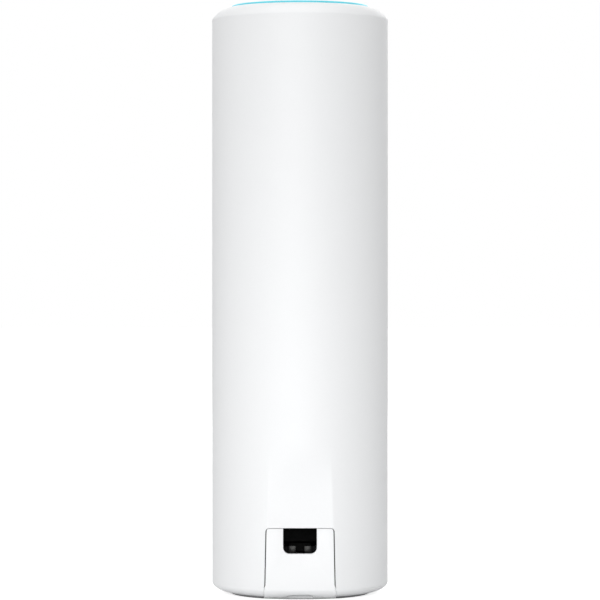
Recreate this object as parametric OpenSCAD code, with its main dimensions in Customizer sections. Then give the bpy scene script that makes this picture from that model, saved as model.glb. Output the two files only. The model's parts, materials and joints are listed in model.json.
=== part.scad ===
// Mesh wifi node: a slim white cylinder with a glowing ring on top and a socket behind a rear door.
// Millimetres. The origin is the middle of the foot on the table, +Z is up, the door faces -Y.

/* [Casing] */
// Diameter of the round wall
body_d = 48.5; // [47.5:0.5:54]
// Height of the casing's top lip above the table
body_h = 161.5; // [158:0.1:176]
// Thickness of the casing's wall
wall = 2; // [1.6:0.1:2.3]
// Radius of the crowned shoulder
shoulder_r = 7.2; // [6:0.1:8]
// Height of the shoulder above its crease
shoulder_drop = 3.35; // [2.8:0.05:3.8]
// Height of the seam between the casing and the base
seam_z = 2.6; // [2.5:0.1:3.2]

/* [Rear facet] */
// Depth of the flat at the seam
facet_depth = 1.92; // [1.6:0.02:2.2]
// Lean of the flat, in degrees
facet_tilt = 0.68; // [0.3:0.02:0.9]
// Height where the flat begins to fade
facet_full_z = 27; // [25:0.5:32]
// Length over which the flat fades into the round wall
facet_fade = 16.5; // [12:0.5:24]

/* [Rear door] */
// Height of the door's top edge
door_top_z = 19.45; // [18.9:0.05:20]
// Width of the door at its top
door_w_top = 18; // [17.4:0.1:18.4]
// Width of the door at the seam
door_w_bottom = 18.7; // [18.5:0.1:19]
// Width of the door's lip under the base edge
door_lip_w = 19.3; // [19:0.1:20]
// Gap beside the door
door_gap = 0.28; // [0.2:0.01:0.45]
// Gap above the door
door_top_gap = 0.13; // [0.1:0.01:0.3]
// Gap between the door's lip and the base
lip_gap = 0.12; // [0.1:0.01:0.3]
// Thickness of the door
door_t = 1.8; // [1.4:0.1:1.9]
// Radius of the door's top corners
door_corner_r = 0.75; // [0.5:0.05:1.5]
// Depth of the lip below the base, front to back
door_lip_l = 4.8; // [4:0.1:5]
// Space between the lip and the table
door_lip_lift = 0.1; // [0.1:0.01:0.4]
// Width of the cable notch
notch_w = 9.1; // [7.5:0.1:10]
// Height of the notch's lower edge
notch_z = 12.65; // [11.5:0.05:14]
// Radius of the notch's lower corners
notch_r = 1.7; // [0.8:0.05:2.5]
// Width of the finger arch
pull_w = 7.4; // [5:0.1:9]
// Height of the finger arch's top
pull_z = 1.4; // [1.1:0.05:1.7]
// Depth of the finger arch, front to back
pull_l = 4; // [2:0.1:4.2]
// Length of the door's inner arms
arm_l = 6; // [4:0.5:9]
// Height of an arm
arm_h = 4; // [3:0.5:5]
// Thickness of an arm
arm_t = 1; // [0.8:0.1:1.4]

/* [Base and foot] */
// Radius of the rounded lower edge
base_edge_r = 7.8; // [7:0.1:9]
// Depth of the rounded edge below the seam
base_dip = 2.45; // [2.3:0.05:2.55]
// Height of the base above the table
foot_lift = 0.7; // [0.6:0.05:0.9]
// Depth of the foot's groove in the base
foot_seat = 0.3; // [0.2:0.05:0.4]
// Distance from the casing's side to the foot's outer edge
foot_inset = 5.15; // [4.75:0.1:5.55]
// Width of the foot
foot_w = 3.9; // [3.4:0.1:4.4]
// Height of the base's locating rim
rim_h = 2.4; // [1.6:0.1:3]
// Thickness of the locating rim
rim_t = 1.2; // [0.9:0.1:1.6]

/* [Light ring and cap] */
// Distance from the casing's side to the light ring
ring_inset = 5.2; // [4.65:0.05:5.25]
// Width of the light ring
light_ring_w = 2.2; // [1.8:0.1:2.6]
// How far the ring stands above the casing's lip
light_ring_rise = 0.45; // [0.3:0.05:0.9]
// Rounding of the ring's top corners
ring_round = 0.7; // [0.4:0.05:0.85]
// Thickness of the ring's flange
ring_flange_t = 1.6; // [1.2:0.1:1.9]
// Depth of the flange's underside below the casing's lip
ring_flange_drop = 6; // [5.7:0.1:7]
// Thickness of the ring's skirt
ring_skirt_t = 0.9; // [0.7:0.1:1]
// Thickness of the cap's disc
cap_t = 1.8; // [1.4:0.1:2.4]
// Rounding of the cap's edge
cap_round = 0.4; // [0.2:0.05:0.7]
// Thickness of the cap's skirt
cap_skirt_t = 1.5; // [1:0.1:2]

/* [Light board] */
// Distance of the light board's underside below the casing's lip
led_board_drop = 11.5; // [10.5:0.5:13.5]
// Space between the light board and the casing
led_board_space = 1.65; // [1.45:0.1:2.05]
// Inner diameter of the light board
led_board_hole_d = 22; // [18:1:24]
// Number of light chips
led_count = 12; // [8:1:16]
// Side of a light chip
led_w = 2; // [1.6:0.1:2.4]
// Height of a light chip
led_h = 0.8; // [0.6:0.1:1]
// Width of the light ribbon
ribbon_w = 6; // [4:0.5:7]
// Thickness of the light ribbon
ribbon_t = 0.3; // [0.2:0.05:0.5]
// Length of ribbon that lies on the main board
ribbon_lap = 7; // [5:0.5:9]

/* [Antennas] */
// Outer width of the antenna frame
carrier_w = 26.4; // [25:0.2:27]
// Thickness of the antenna frame
carrier_t = 1.2; // [1:0.1:1.6]
// Space between the frame's floor and the casing
carrier_space = 3.35; // [2.75:0.1:3.35]
// Length of the frame's legs on the board
carrier_leg_h = 7; // [6:0.5:8]
// Width of a leg
carrier_leg_w = 4.4; // [4:0.1:5]
// Thickness of the antenna plates
antenna_t = 0.4; // [0.3:0.05:0.6]
// Width of a high-band antenna
high_band_w = 9; // [8:0.5:10]
// Height of a high-band antenna
high_band_h = 12; // [9:0.5:13]
// Space between two high-band antennas side by side
high_band_space = 2; // [1:0.1:3]
// Width of a low-band antenna
low_band_w = 18; // [14:0.5:20]
// Height of a low-band antenna
low_band_h = 15; // [13:0.5:16]
// Width of the slot in each antenna
antenna_slot = 1; // [0.6:0.1:1.4]
// Height of the antennas above the frame's floor
antenna_rise = 3; // [2:0.1:3]
// Diameter of the coaxial leads
coax_d = 1.1; // [0.8:0.1:1.3]
// Bend radius of the coaxial leads
coax_bend = 3; // [2:0.25:4]
// Diameter of a coaxial plug
coax_plug_d = 2.2; // [1.8:0.1:2.6]
// Height of a coaxial plug
coax_plug_h = 1.4; // [1.2:0.1:1.8]
// Space between the outermost leads and the heat sink's screws
coax_space = 0.35; // [0.25:0.05:0.6]
// Distance of a low-band lead's level run below the antenna's top
coax_run_drop = 2; // [1.5:0.1:3]
// Distance of the plugs below the board's top
coax_plug_drop = 20; // [18:0.5:22]

/* [Main board] */
// Thickness of the circuit boards
board_t = 1.6; // [1.2:0.1:2]
// Width of the main board
main_board_w = 33; // [32:0.5:35]
// Distance of the main board's top edge below the light board
main_board_drop = 22; // [20:0.5:24]
// Distance of the main board's front face behind the axis
main_board_y = 2; // [1.6:0.1:2.6]
// Height of the shielding cans
shield_h = 2.3; // [2:0.1:2.8]
// Width of the shielding cans
shield_w = 19; // [18:0.5:20]
// Sheet thickness of the cans
shield_t = 0.3; // [0.2:0.05:0.4]
// Thickness of the thermal pads
pad_t = 0.9; // [0.6:0.1:1.4]
// Side of the processor
processor_w = 12; // [10:0.5:13]
// Thickness of the chips
chip_t = 1.2; // [0.8:0.1:1.5]
// Width of a memory chip
memory_w = 3.4; // [3:0.1:3.6]
// Length of a memory chip
memory_l = 7; // [6:0.5:9]
// Side of a radio chip
radio_w = 7; // [6:0.5:9]

/* [Heat sink] */
// Width of the heat sink's plate
sink_w = 29; // [27:0.5:31]
// Thickness of the plate
sink_plate_t = 2; // [1.5:0.1:2.5]
// Height of the heat sink's lower end
sink_z = 28; // [27:0.5:29]
// Distance of the heat sink's upper end below the main board's top edge
sink_drop = 10; // [9:0.5:12]
// Thickness of a fin
fin_t = 1.4; // [1:0.1:1.8]
// Distance from fin to fin
fin_pitch = 4; // [3.6:0.1:4.5]
// Space between the fins and the casing
fin_space = 1; // [0.8:0.1:1.6]
// Diameter of the heat sink's bosses
sink_boss_d = 4; // [3.4:0.1:4.2]
// Distance of the bosses from the heat sink's ends
sink_boss_in = 4.5; // [3.5:0.1:5]
// Distance across between the bosses
sink_boss_span = 24; // [23.6:0.1:25]

/* [Power parts] */
// Width of the power transformer
power_tr_w = 14; // [12:0.5:16]
// Height of the power transformer off the board
power_tr_h = 12; // [9:0.5:13]
// Length of the power transformer along the board
power_tr_l = 13; // [11:0.5:14]
// Diameter of the power capacitors
capacitor_d = 8; // [6:0.5:8.5]
// Length of the power capacitors
capacitor_l = 12; // [9:0.5:14]
// Width of the line transformer
line_tr_w = 12.6; // [11:0.2:15]
// Height of the line transformer off the board
line_tr_h = 6; // [5:0.5:8]
// Length of the line transformer along the board
line_tr_l = 10; // [8:0.5:11]
// Side of a power inductor
inductor_w = 6; // [5:0.5:7]
// Height of a power inductor off the board
inductor_h = 3; // [2.5:0.5:5]
// Space between neighbours along the board
part_space = 5; // [4:0.5:6]

/* [Port] */
// Depth from the door's face to the socket's face
bay_depth = 19.4; // [18.6:0.1:20]
// Wall thickness of the bay's liner
bay_t = 1; // [0.8:0.1:1.2]
// Height of the port board's underside
port_board_z = 7.7; // [7.4:0.1:8]
// Space between the port board and the casing
port_board_space = 2.45; // [2.05:0.1:3.25]
// Width of the socket
jack_w = 16; // [15:0.1:16.4]
// Height of the socket
jack_h = 13.5; // [13:0.1:14.5]
// Length of the socket
jack_l = 16; // [15.5:0.1:17.5]
// How far the socket's face stands proud of the bay's wall
jack_proud = 0.2; // [0.1:0.05:0.4]
// Width of the plug's cavity
plug_w = 11.9; // [11.7:0.05:12.2]
// Height of the plug's cavity
plug_h = 6.65; // [6.6:0.05:6.9]
// Depth of the plug's cavity
plug_l = 12.7; // [11.5:0.1:13.5]
// Height of the cavity's floor above the port board
plug_floor = 3.8; // [3.4:0.1:4]
// Width of the slot for the plug's latch
latch_w = 6.4; // [6.2:0.1:7]
// Depth of that slot below the cavity's floor
latch_drop = 2.3; // [1.8:0.1:2.6]
// Length of that slot
latch_l = 9; // [7:0.5:11]
// Width of a latch guide
guide_w = 2; // [1.6:0.1:2.4]
// Thickness of a latch guide
guide_t = 0.4; // [0.3:0.05:0.6]
// Distance from contact to contact
contact_pitch = 1.02; // [1:0.01:1.1]
// Thickness of a contact wire
contact_t = 0.4; // [0.3:0.05:0.5]
// Sheet thickness of the socket's can
jack_shield_t = 0.3; // [0.2:0.05:0.4]
// Width of a link header
header_w = 5; // [4:0.5:6]
// Height of a link header
header_h = 3; // [2.5:0.5:5]
// Depth of a link header
header_l = 2.4; // [1.8:0.1:2.6]

/* [Reset] */
// Diameter of the reset button
button_d = 2.4; // [2:0.1:2.8]
// Travel of the reset button
button_travel = 0.3; // [0.2:0.05:0.4]
// How far the button stands out of the bay's wall
button_proud = 0.8; // [0.5:0.1:1.2]
// Distance of the button from the middle
button_x = 5.5; // [4:0.1:6]
// Width of the collar behind the wall, beyond the button
button_collar = 0.5; // [0.3:0.05:0.5]
// Width of the switch
switch_w = 4.5; // [4:0.1:5]
// Height of the switch
switch_h = 3.4; // [3:0.1:3.6]
// Length of the switch
switch_l = 3.5; // [3:0.1:5]

/* [Screws and fits] */
// Thread diameter of the screws
screw_d = 1.6; // [1.4:0.1:1.8]
// Diameter of the screw heads
screw_head_d = 3.2; // [2.8:0.1:3.4]
// Height of the screw heads
screw_head_h = 1; // [0.8:0.1:1.1]
// Length of the screws under the head
screw_l = 4.6; // [4:0.1:5]
// Diameter of the screw posts and bosses
post_d = 4.6; // [4:0.1:5]
// Distance of the port board's posts from the middle
post_x = 13.2; // [12.8:0.1:13.6]
// Distance of the port board's posts behind the axis
post_y = 6.6; // [6.4:0.1:6.8]
// Clearance of parts that locate each other
fit_gap = 0.1; // [0.05:0.01:0.14]
// Clearance of parts that move or pass each other
slide_gap = 0.3; // [0.25:0.01:0.4]

/* [Hidden] */
$fn = 96;
// Overshoot of cutters
over = 1;
// Steps of the curve that ends the flat
fade_steps = 12;
base_screw_angles = [45, 135, 200, 340];
// Distances of the inner pairs of coaxial leads from the outermost
coax_steps = [6.5, 3.5];

body_r = body_d / 2;
inner_r = body_r - wall;
crease_z = body_h - shoulder_drop;
shoulder_cz = body_h - shoulder_r;
shoulder_cr = body_r - sqrt(pow(shoulder_r, 2) - pow(shoulder_r - shoulder_drop, 2));
base_cz = seam_z - base_dip + base_edge_r;
base_cr = body_r - sqrt(pow(base_edge_r, 2) - pow(base_edge_r - base_dip, 2));

// Place of the facet's plane at a height
function face_y(z) = -(body_r - facet_depth) - (z - seam_z) * tan(facet_tilt);
function mix(a, b, t) = a + (b - a) * t;
// Radius of the hollow curve that ends the flat
fade_rise = body_r + face_y(facet_full_z);
fade_r = (pow(facet_fade, 2) + pow(fade_rise, 2)) / (2 * fade_rise);
facet_top = facet_full_z + facet_fade;
inner_flat_y = face_y(seam_z) + wall;

door_back_y = face_y(seam_z) + door_t;
door_lip_back = face_y(seam_z) + door_lip_l;
pull_rise = pull_z - door_lip_lift;
pull_r = (pow(pull_w / 2, 2) + pow(pull_rise, 2)) / (2 * pull_rise);

foot_r = body_r - foot_inset;
foot_mid_r = foot_r - foot_w / 2;
foot_top = foot_lift + foot_seat;
lip_cut_half = door_lip_w / 2 + lip_gap;
lip_cut_back = door_lip_back + slide_gap;

port_board_top = port_board_z + board_t;
jack_y = face_y(seam_z) + bay_depth;
jack_back = jack_y + jack_l;
jack_top = port_board_top + jack_h;
plug_z = port_board_top + plug_floor;
bay_half = door_w_top / 2;
bay_back = jack_y + jack_proud;
bay_rear = bay_back + bay_t;
bay_floor = seam_z + bay_t;
bay_top = jack_top + slide_gap;
bay_front = inner_flat_y + fit_gap;
port_board_front = bay_rear + slide_gap;
port_board_r = inner_r - port_board_space;

button_collar_r = button_d / 2 + button_collar;
button_z = port_board_z - slide_gap - button_collar_r;
button_end = bay_rear + fit_gap + button_collar;
switch_front = button_end + button_travel + fit_gap / 2;

led_board_z = body_h - led_board_drop;
led_board_top = led_board_z + board_t;
led_board_r = inner_r - led_board_space;

main_board_top = led_board_z - main_board_drop;
main_board_back = main_board_y + board_t;
board_cut_half = jack_w / 2 + jack_shield_t + slide_gap;
board_cut_top = jack_top + jack_shield_t + slide_gap;
can_back = main_board_back + shield_h;
sink_y = can_back + pad_t;
sink_top = main_board_top - sink_drop;
sink_boss_z = [sink_z + sink_boss_in, sink_top - sink_boss_in];
fin_r = inner_r - fin_space;
fin_count = floor((sink_w - fin_t) / fin_pitch);
// The three cans share the length between the bosses
can_low = sink_boss_z[0] + sink_boss_d / 2 + slide_gap;
can_high = sink_boss_z[1] - sink_boss_d / 2 - slide_gap;
can_gap = 3;
can_l = (can_high - can_low - 2 * can_gap) / 3;
can_z = [for (i = [0:2]) can_low + i * (can_l + can_gap)];
pad_in = 2;

power_tr_z = board_cut_top + part_space;
capacitor_z = power_tr_z + power_tr_l + part_space + capacitor_d / 2;
capacitor_x = capacitor_d / 2 + fit_gap;
line_tr_z = capacitor_z + capacitor_d / 2 + part_space;
inductor_z = line_tr_z + line_tr_l + part_space;
inductor_x = inductor_w / 2 + fit_gap;

carrier_floor_top = main_board_top + carrier_t;
carrier_leg_x = main_board_w / 2 - carrier_leg_w / 2;
carrier_screw_z = main_board_top - carrier_leg_h / 2;
antenna_z = carrier_floor_top + antenna_rise;
coax_y = main_board_y - coax_plug_h / 2;
coax_plug_z = main_board_top - coax_plug_drop;
coax_hole_d = coax_d + 2 * slide_gap;
// The outermost leads pass the heat sink's screws on their inner side
coax_x = (sink_boss_span - screw_head_d - coax_d) / 2 - coax_space;
// Leads by pairs: distance from the middle, height of the run, direction of the run
coax_runs = [
    [coax_x - coax_steps[0], antenna_z + low_band_h - coax_run_drop, "side"],
    [coax_x - coax_steps[1], antenna_z + high_band_h / 2, "front"],
    [coax_x, antenna_z + high_band_h / 2, "back"],
];

ring_r = body_r - ring_inset;
ring_in_r = ring_r - light_ring_w;
ring_top = body_h + light_ring_rise;
ring_flange_z = body_h - ring_flange_drop;
led_r = ring_r - light_ring_w / 2;
cap_r = ring_in_r - fit_gap;
cap_skirt_r = led_r - led_w / 2 - slide_gap;

// Block between two corners
module block(low, high) {
    translate(low) cube(high - low);
}

// Extrudes an X-Z outline from y0 to y1
module along_y(y0, y1) {
    translate([0, y1, 0]) rotate([90, 0, 0]) linear_extrude(y1 - y0) children();
}

// Extrudes a Y-Z outline from x0 to x1
module along_x(x0, x1) {
    translate([x0, 0, 0]) rotate([90, 0, 90]) linear_extrude(x1 - x0) children();
}

// Round bar along Y
module bar_y(d, y0, y1) {
    translate([0, y1, 0]) rotate([90, 0, 0]) cylinder(d = d, h = y1 - y0);
}

module both_sides() {
    children();
    mirror([1, 0, 0]) children();
}

module at_base_screws() {
    for (angle = base_screw_angles)
        rotate([0, 0, angle]) translate([foot_mid_r, 0, 0]) children();
}

module at_port_posts() {
    both_sides() translate([post_x, post_y, 0]) children();
}

// Screw that points down, with the underside of its head at the origin
module screw() {
    cylinder(d = screw_head_d, h = screw_head_h);
    translate([0, 0, -screw_l]) cylinder(d = screw_d, h = screw_l);
}

// Screw through the main board, its head on the board's front face
module board_screw(x, z) {
    translate([x, main_board_y, z]) rotate([90, 0, 0]) screw();
}

// Half section of a body of revolution with the shoulder's crown, set in from the outside
module shoulder_section(inset, low) {
    r = body_r - inset;
    crown_r = shoulder_r - inset;
    core_top = shoulder_cz + crown_r - over;
    intersection() {
        translate([0, low]) square([r, body_h - low]);
        union() {
            translate([0, low - over]) square([body_d, shoulder_cz - low + over]);
            translate([0, low - over]) square([shoulder_cr, core_top - low + over]);
            translate([shoulder_cr, shoulder_cz]) circle(r = crown_r);
        }
    }
}

// Cuts the flat, which runs out upwards through the wall in a hollow curve
module facet_cut() {
    flat_y = face_y(facet_full_z);
    out_y = -body_r - over;
    low = seam_z - over;
    end_angle = asin((facet_fade + over) / fade_r);
    curve = [for (i = [0:fade_steps])
        let (angle = end_angle * i / fade_steps)
        [flat_y - fade_r * (1 - cos(angle)), facet_full_z + fade_r * sin(angle)]];
    along_x(-body_r, body_r)
        polygon(concat([[out_y, low], [face_y(low), low]], curve, [[out_y, facet_full_z + facet_fade + over]]));
}

// Half width of the door at a height
function door_half(z) =
    mix(door_w_bottom, door_w_top, (z - seam_z) / (door_top_z - seam_z)) / 2;

// X-Z outline of the door above the seam, grown at its sides and its top
module door_outline(grow, top_grow, low) {
    r = door_corner_r + grow;
    top = door_top_z + top_grow;
    corner_x = door_half(door_top_z) + grow - r;
    low_half = door_half(low) + grow;
    shoulder_half = door_half(top - r) + grow;
    polygon([[-low_half, low], [low_half, low], [shoulder_half, top - r], [-shoulder_half, top - r]]);
    translate([-corner_x, top - 2 * r]) square([2 * corner_x, 2 * r]);
    for (side = [-1, 1]) translate([side * corner_x, top - r]) circle(r = r);
}

// X-Z outline of the cable notch
module notch_outline() {
    half = notch_w / 2;
    height = door_top_z + over - notch_z;
    translate([-half, notch_z + notch_r]) square([notch_w, height - notch_r]);
    translate([-half + notch_r, notch_z]) square([notch_w - 2 * notch_r, height]);
    for (side = [-1, 1]) translate([side * (half - notch_r), notch_z + notch_r]) circle(r = notch_r);
}

module casing_boss() {
    web_w = 2;
    boss_h = port_board_z - slide_gap - seam_z;
    difference() {
        union() {
            cylinder(d = post_d, h = boss_h);
            translate([0, -web_w / 2, 0]) cube([inner_r + wall / 2 - foot_mid_r, web_w, boss_h]);
        }
        translate([0, 0, -over]) cylinder(d = screw_d + fit_gap, h = boss_h + 2 * over);
    }
}

module outer_casing() {
    color("white") {
        difference() {
            rotate_extrude() shoulder_section(0, seam_z);
            difference() {
                rotate_extrude() shoulder_section(wall, seam_z - over);
                block([-body_r, -body_r, 0], [body_r, inner_flat_y, facet_top]);
            }
            translate([0, 0, body_h - shoulder_drop]) cylinder(r = ring_r + fit_gap, h = 2 * shoulder_drop);
            along_y(-body_r - over, inner_flat_y + wall) door_outline(door_gap, door_top_gap, seam_z - over);
            facet_cut();
        }
        translate([0, 0, seam_z]) at_base_screws() casing_boss();
    }
}

module top_cap() {
    disc_z = body_h - cap_t;
    color("white") rotate_extrude() {
        translate([0, disc_z]) square([cap_r, cap_t - cap_round]);
        translate([0, disc_z]) square([cap_r - cap_round, cap_t]);
        translate([cap_r - cap_round, body_h - cap_round]) circle(r = cap_round);
        translate([cap_skirt_r - cap_skirt_t, led_board_top])
            square([cap_skirt_t, disc_z - led_board_top + cap_round]);
    }
}

module light_ring() {
    color("cyan") rotate_extrude() {
        translate([ring_in_r, ring_flange_z])
            square([light_ring_w, ring_top - ring_round - ring_flange_z]);
        translate([ring_in_r + ring_round, ring_flange_z])
            square([light_ring_w - 2 * ring_round, ring_top - ring_flange_z]);
        for (r = [ring_in_r + ring_round, ring_r - ring_round])
            translate([r, ring_top - ring_round]) circle(r = ring_round);
        translate([ring_in_r, ring_flange_z]) square([led_board_r - ring_in_r, ring_flange_t]);
        translate([led_board_r - ring_skirt_t, led_board_top])
            square([ring_skirt_t, ring_flange_z - led_board_top + ring_flange_t]);
    }
}

module led_board() {
    color("darkgreen") translate([0, 0, led_board_z]) linear_extrude(board_t) difference() {
        circle(r = led_board_r);
        circle(d = led_board_hole_d);
    }
}

module led_chips() {
    color("lightyellow") for (i = [0:led_count - 1])
        rotate([0, 0, 360 * i / led_count])
            translate([led_r - led_w / 2, -led_w / 2, led_board_top]) cube([led_w, led_w, led_h]);
}

// Flat ribbon from the main board to the light board
module led_ribbon() {
    y0 = main_board_back;
    run_r = led_board_hole_d / 2 + ribbon_lap / 2;
    color("orange") {
        block([-ribbon_w / 2, y0, main_board_top - ribbon_lap],
              [ribbon_w / 2, y0 + ribbon_t, led_board_z]);
        block([-ribbon_w / 2, y0, led_board_z - ribbon_t], [ribbon_w / 2, run_r, led_board_z]);
    }
}

module carrier_leg() {
    x0 = carrier_leg_x - carrier_leg_w / 2;
    difference() {
        block([x0, main_board_back, main_board_top - carrier_leg_h],
              [x0 + carrier_leg_w, main_board_back + screw_l - board_t + carrier_t, carrier_floor_top]);
        translate([carrier_leg_x, 0, carrier_screw_z])
            bar_y(screw_d + fit_gap, main_board_back - over, main_board_back + screw_l);
    }
}

module antenna_carrier() {
    half = carrier_w / 2;
    inside = half - carrier_t;
    color("dimgray") difference() {
        union() {
            translate([0, 0, main_board_top]) cylinder(r = inner_r - carrier_space, h = carrier_t);
            difference() {
                block([-half, -half, main_board_top], [half, half, led_board_z]);
                block([-inside, -inside, carrier_floor_top], [inside, inside, led_board_z + over]);
            }
            both_sides() carrier_leg();
        }
        block([-ribbon_w / 2 - slide_gap, main_board_back - slide_gap, main_board_top - over],
              [ribbon_w / 2 + slide_gap, main_board_back + ribbon_t + slide_gap, carrier_floor_top + over]);
        block([-ribbon_w / 2 - slide_gap, 0, led_board_z - ribbon_t - slide_gap],
              [ribbon_w / 2 + slide_gap, body_r, led_board_z + over]);
        for (run = coax_runs) both_sides() {
            translate([run[0], coax_y, main_board_top - over])
                cylinder(d = coax_hole_d, h = carrier_t + 2 * over);
            coax_way(run) cylinder(d = coax_hole_d, h = body_r);
        }
    }
}

// Puts a bar that points up at the start of a lead's level run, turned along it
module coax_way(run) {
    turn = run[2] == "side" ? [0, 90, 0] : run[2] == "front" ? [90, 0, 0] : [-90, 0, 0];
    translate([run[0], coax_y, run[1]]) rotate(turn) children();
}

// Distance from a lead's upright part to the antenna that it feeds
function coax_reach(run) =
    run[2] == "side" ? carrier_w / 2 - run[0]
    : run[2] == "front" ? carrier_w / 2 + coax_y
    : carrier_w / 2 - coax_y;

module coax_lead(run) {
    start = coax_plug_z + coax_plug_d / 2;
    spin = run[2] == "side" ? 0 : run[2] == "front" ? -90 : 90;
    translate([run[0], coax_y, start]) cylinder(d = coax_d, h = run[1] - coax_bend - start);
    translate([run[0], coax_y, run[1] - coax_bend])
        rotate([0, 0, spin]) translate([coax_bend, 0, 0]) rotate([90, 0, 180])
            rotate_extrude(angle = 90) translate([coax_bend, 0]) circle(d = coax_d);
    coax_way(run) translate([0, 0, coax_bend]) cylinder(d = coax_d, h = coax_reach(run) - coax_bend);
}

module coax_leads() {
    color("gray") for (run = coax_runs) both_sides() coax_lead(run);
}

module coax_plugs() {
    color("gold") for (run = coax_runs) both_sides()
        translate([run[0], 0, coax_plug_z])
            bar_y(coax_plug_d, main_board_y - coax_plug_h, main_board_y);
}

// Flat plate with an open slot from its top, in the X-Z plane
module antenna_outline(w, h) {
    difference() {
        translate([-w / 2, 0]) square([w, h]);
        translate([w / 4, h / 3]) square([antenna_slot, h]);
    }
}

module high_band_antennas() {
    face = carrier_w / 2;
    x = (high_band_w + high_band_space) / 2;
    color("goldenrod") both_sides() translate([x, 0, antenna_z]) {
        along_y(-face - antenna_t, -face) antenna_outline(high_band_w, high_band_h);
        along_y(face, face + antenna_t) antenna_outline(high_band_w, high_band_h);
    }
}

module low_band_antennas() {
    face = carrier_w / 2;
    color("goldenrod") both_sides() translate([0, 0, antenna_z])
        along_x(face, face + antenna_t) antenna_outline(low_band_w, low_band_h);
}

module at_sink_bosses() {
    for (z = sink_boss_z) both_sides() translate([sink_boss_span / 2, 0, z]) children();
}

module main_board() {
    half = main_board_w / 2;
    color("darkgreen") difference() {
        block([-half, main_board_y, port_board_top], [half, main_board_back, main_board_top]);
        block([-board_cut_half, 0, port_board_top - over], [board_cut_half, body_r, board_cut_top]);
        at_sink_bosses() bar_y(screw_d + fit_gap, 0, body_r);
        both_sides() translate([carrier_leg_x, 0, carrier_screw_z]) bar_y(screw_d + fit_gap, 0, body_r);
    }
}

module heat_sink() {
    color("silver") difference() {
        union() {
            translate([0, 0, sink_z]) linear_extrude(sink_top - sink_z) intersection() {
                circle(r = fin_r);
                union() {
                    translate([-sink_w / 2, sink_y]) square([sink_w, sink_plate_t]);
                    for (i = [0:fin_count])
                        translate([(i - fin_count / 2) * fin_pitch - fin_t / 2, sink_y])
                            square([fin_t, body_r]);
                }
            }
            at_sink_bosses() bar_y(sink_boss_d, main_board_back, sink_y + sink_plate_t);
        }
        at_sink_bosses() bar_y(screw_d + fit_gap, 0, main_board_back + screw_l);
    }
}

module thermal_pads() {
    half = shield_w / 2 - pad_in;
    color("lightblue") for (z = can_z)
        block([-half, can_back, z + pad_in], [half, sink_y, z + can_l - pad_in]);
}

// Sheet can on the board's back face, open towards the board
module can(z) {
    half = shield_w / 2;
    difference() {
        block([-half, main_board_back, z], [half, can_back, z + can_l]);
        block([-half + shield_t, main_board_back - over, z + shield_t],
              [half - shield_t, can_back - shield_t, z + can_l - shield_t]);
    }
}

module processor_shield() {
    color("lightgray") can(can_z[1]);
}

module radio_shields() {
    color("lightgray") for (i = [0, 2]) can(can_z[i]);
}

// Flat chip on the board's back face
module chip(x, z, w, l) {
    block([x, main_board_back, z], [x + w, main_board_back + chip_t, z + l]);
}

module processor_chip() {
    x = -shield_w / 2 + shield_t + slide_gap;
    color("black") chip(x, can_z[1] + (can_l - processor_w) / 2, processor_w, processor_w);
}

module memory_chips() {
    x = shield_w / 2 - shield_t - slide_gap - memory_w;
    middle = can_z[1] + can_l / 2;
    color("black") for (z = [middle - slide_gap - memory_l, middle + slide_gap]) chip(x, z, memory_w, memory_l);
}

module radio_chips() {
    color("black") for (i = [0, 2]) chip(-radio_w / 2, can_z[i] + (can_l - radio_w) / 2, radio_w, radio_w);
}

// Core with a bobbin's two flanges, on the board's front face
module power_transformer() {
    half = power_tr_w / 2;
    flange = 1.2;
    core_in = 1;
    y0 = main_board_y - power_tr_h;
    top = power_tr_z + power_tr_l;
    color("darkslategray") {
        block([-half + core_in, y0 + core_in, power_tr_z], [half - core_in, main_board_y, top]);
        for (z = [power_tr_z, top - flange]) block([-half, y0, z], [half, main_board_y, z + flange]);
    }
}

module line_transformer() {
    half = line_tr_w / 2;
    color("black")
        block([-half, main_board_y - line_tr_h, line_tr_z], [half, main_board_y, line_tr_z + line_tr_l]);
}

module power_capacitors() {
    color("slategray") both_sides() translate([capacitor_x, 0, capacitor_z])
        bar_y(capacitor_d, main_board_y - capacitor_l, main_board_y);
}

module power_inductors() {
    color("dimgray") both_sides()
        block([inductor_x - inductor_w / 2, main_board_y - inductor_h, inductor_z],
              [inductor_x + inductor_w / 2, main_board_y, inductor_z + inductor_w]);
}

module link_headers() {
    x0 = main_board_w / 2 - header_w;
    color("black") both_sides()
        block([x0, main_board_y - header_l, port_board_top],
              [x0 + header_w, main_board_y, port_board_top + header_h]);
}

module port_board() {
    color("darkgreen") translate([0, 0, port_board_z]) linear_extrude(board_t) difference() {
        intersection() {
            circle(r = port_board_r);
            translate([-body_r, port_board_front]) square([body_d, body_d]);
        }
        at_base_screws() circle(d = post_d + 2 * slide_gap);
        at_port_posts() circle(d = screw_d + fit_gap);
    }
}

module jack_housing() {
    half = jack_w / 2;
    top = plug_z + plug_h;
    color("black") difference() {
        block([-half, jack_y, port_board_top], [half, jack_back, jack_top]);
        block([-plug_w / 2, jack_y - over, plug_z], [plug_w / 2, jack_y + plug_l, top]);
        block([-latch_w / 2, jack_y - over, plug_z - latch_drop], [latch_w / 2, jack_y + latch_l, top]);
    }
}

// Can round the socket, open at its front and towards the board
module jack_shield() {
    half = jack_w / 2;
    t = jack_shield_t;
    color("silver") difference() {
        block([-half - t, bay_rear + fit_gap, port_board_top], [half + t, jack_back + t, jack_top + t]);
        block([-half, jack_y - over, port_board_top - over], [half, jack_back, jack_top]);
    }
}

module latch_guides() {
    color("gray") both_sides()
        block([latch_w / 2 - guide_w, jack_y, plug_z - latch_drop], [latch_w / 2, jack_y + guide_t, plug_z]);
}

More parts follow.
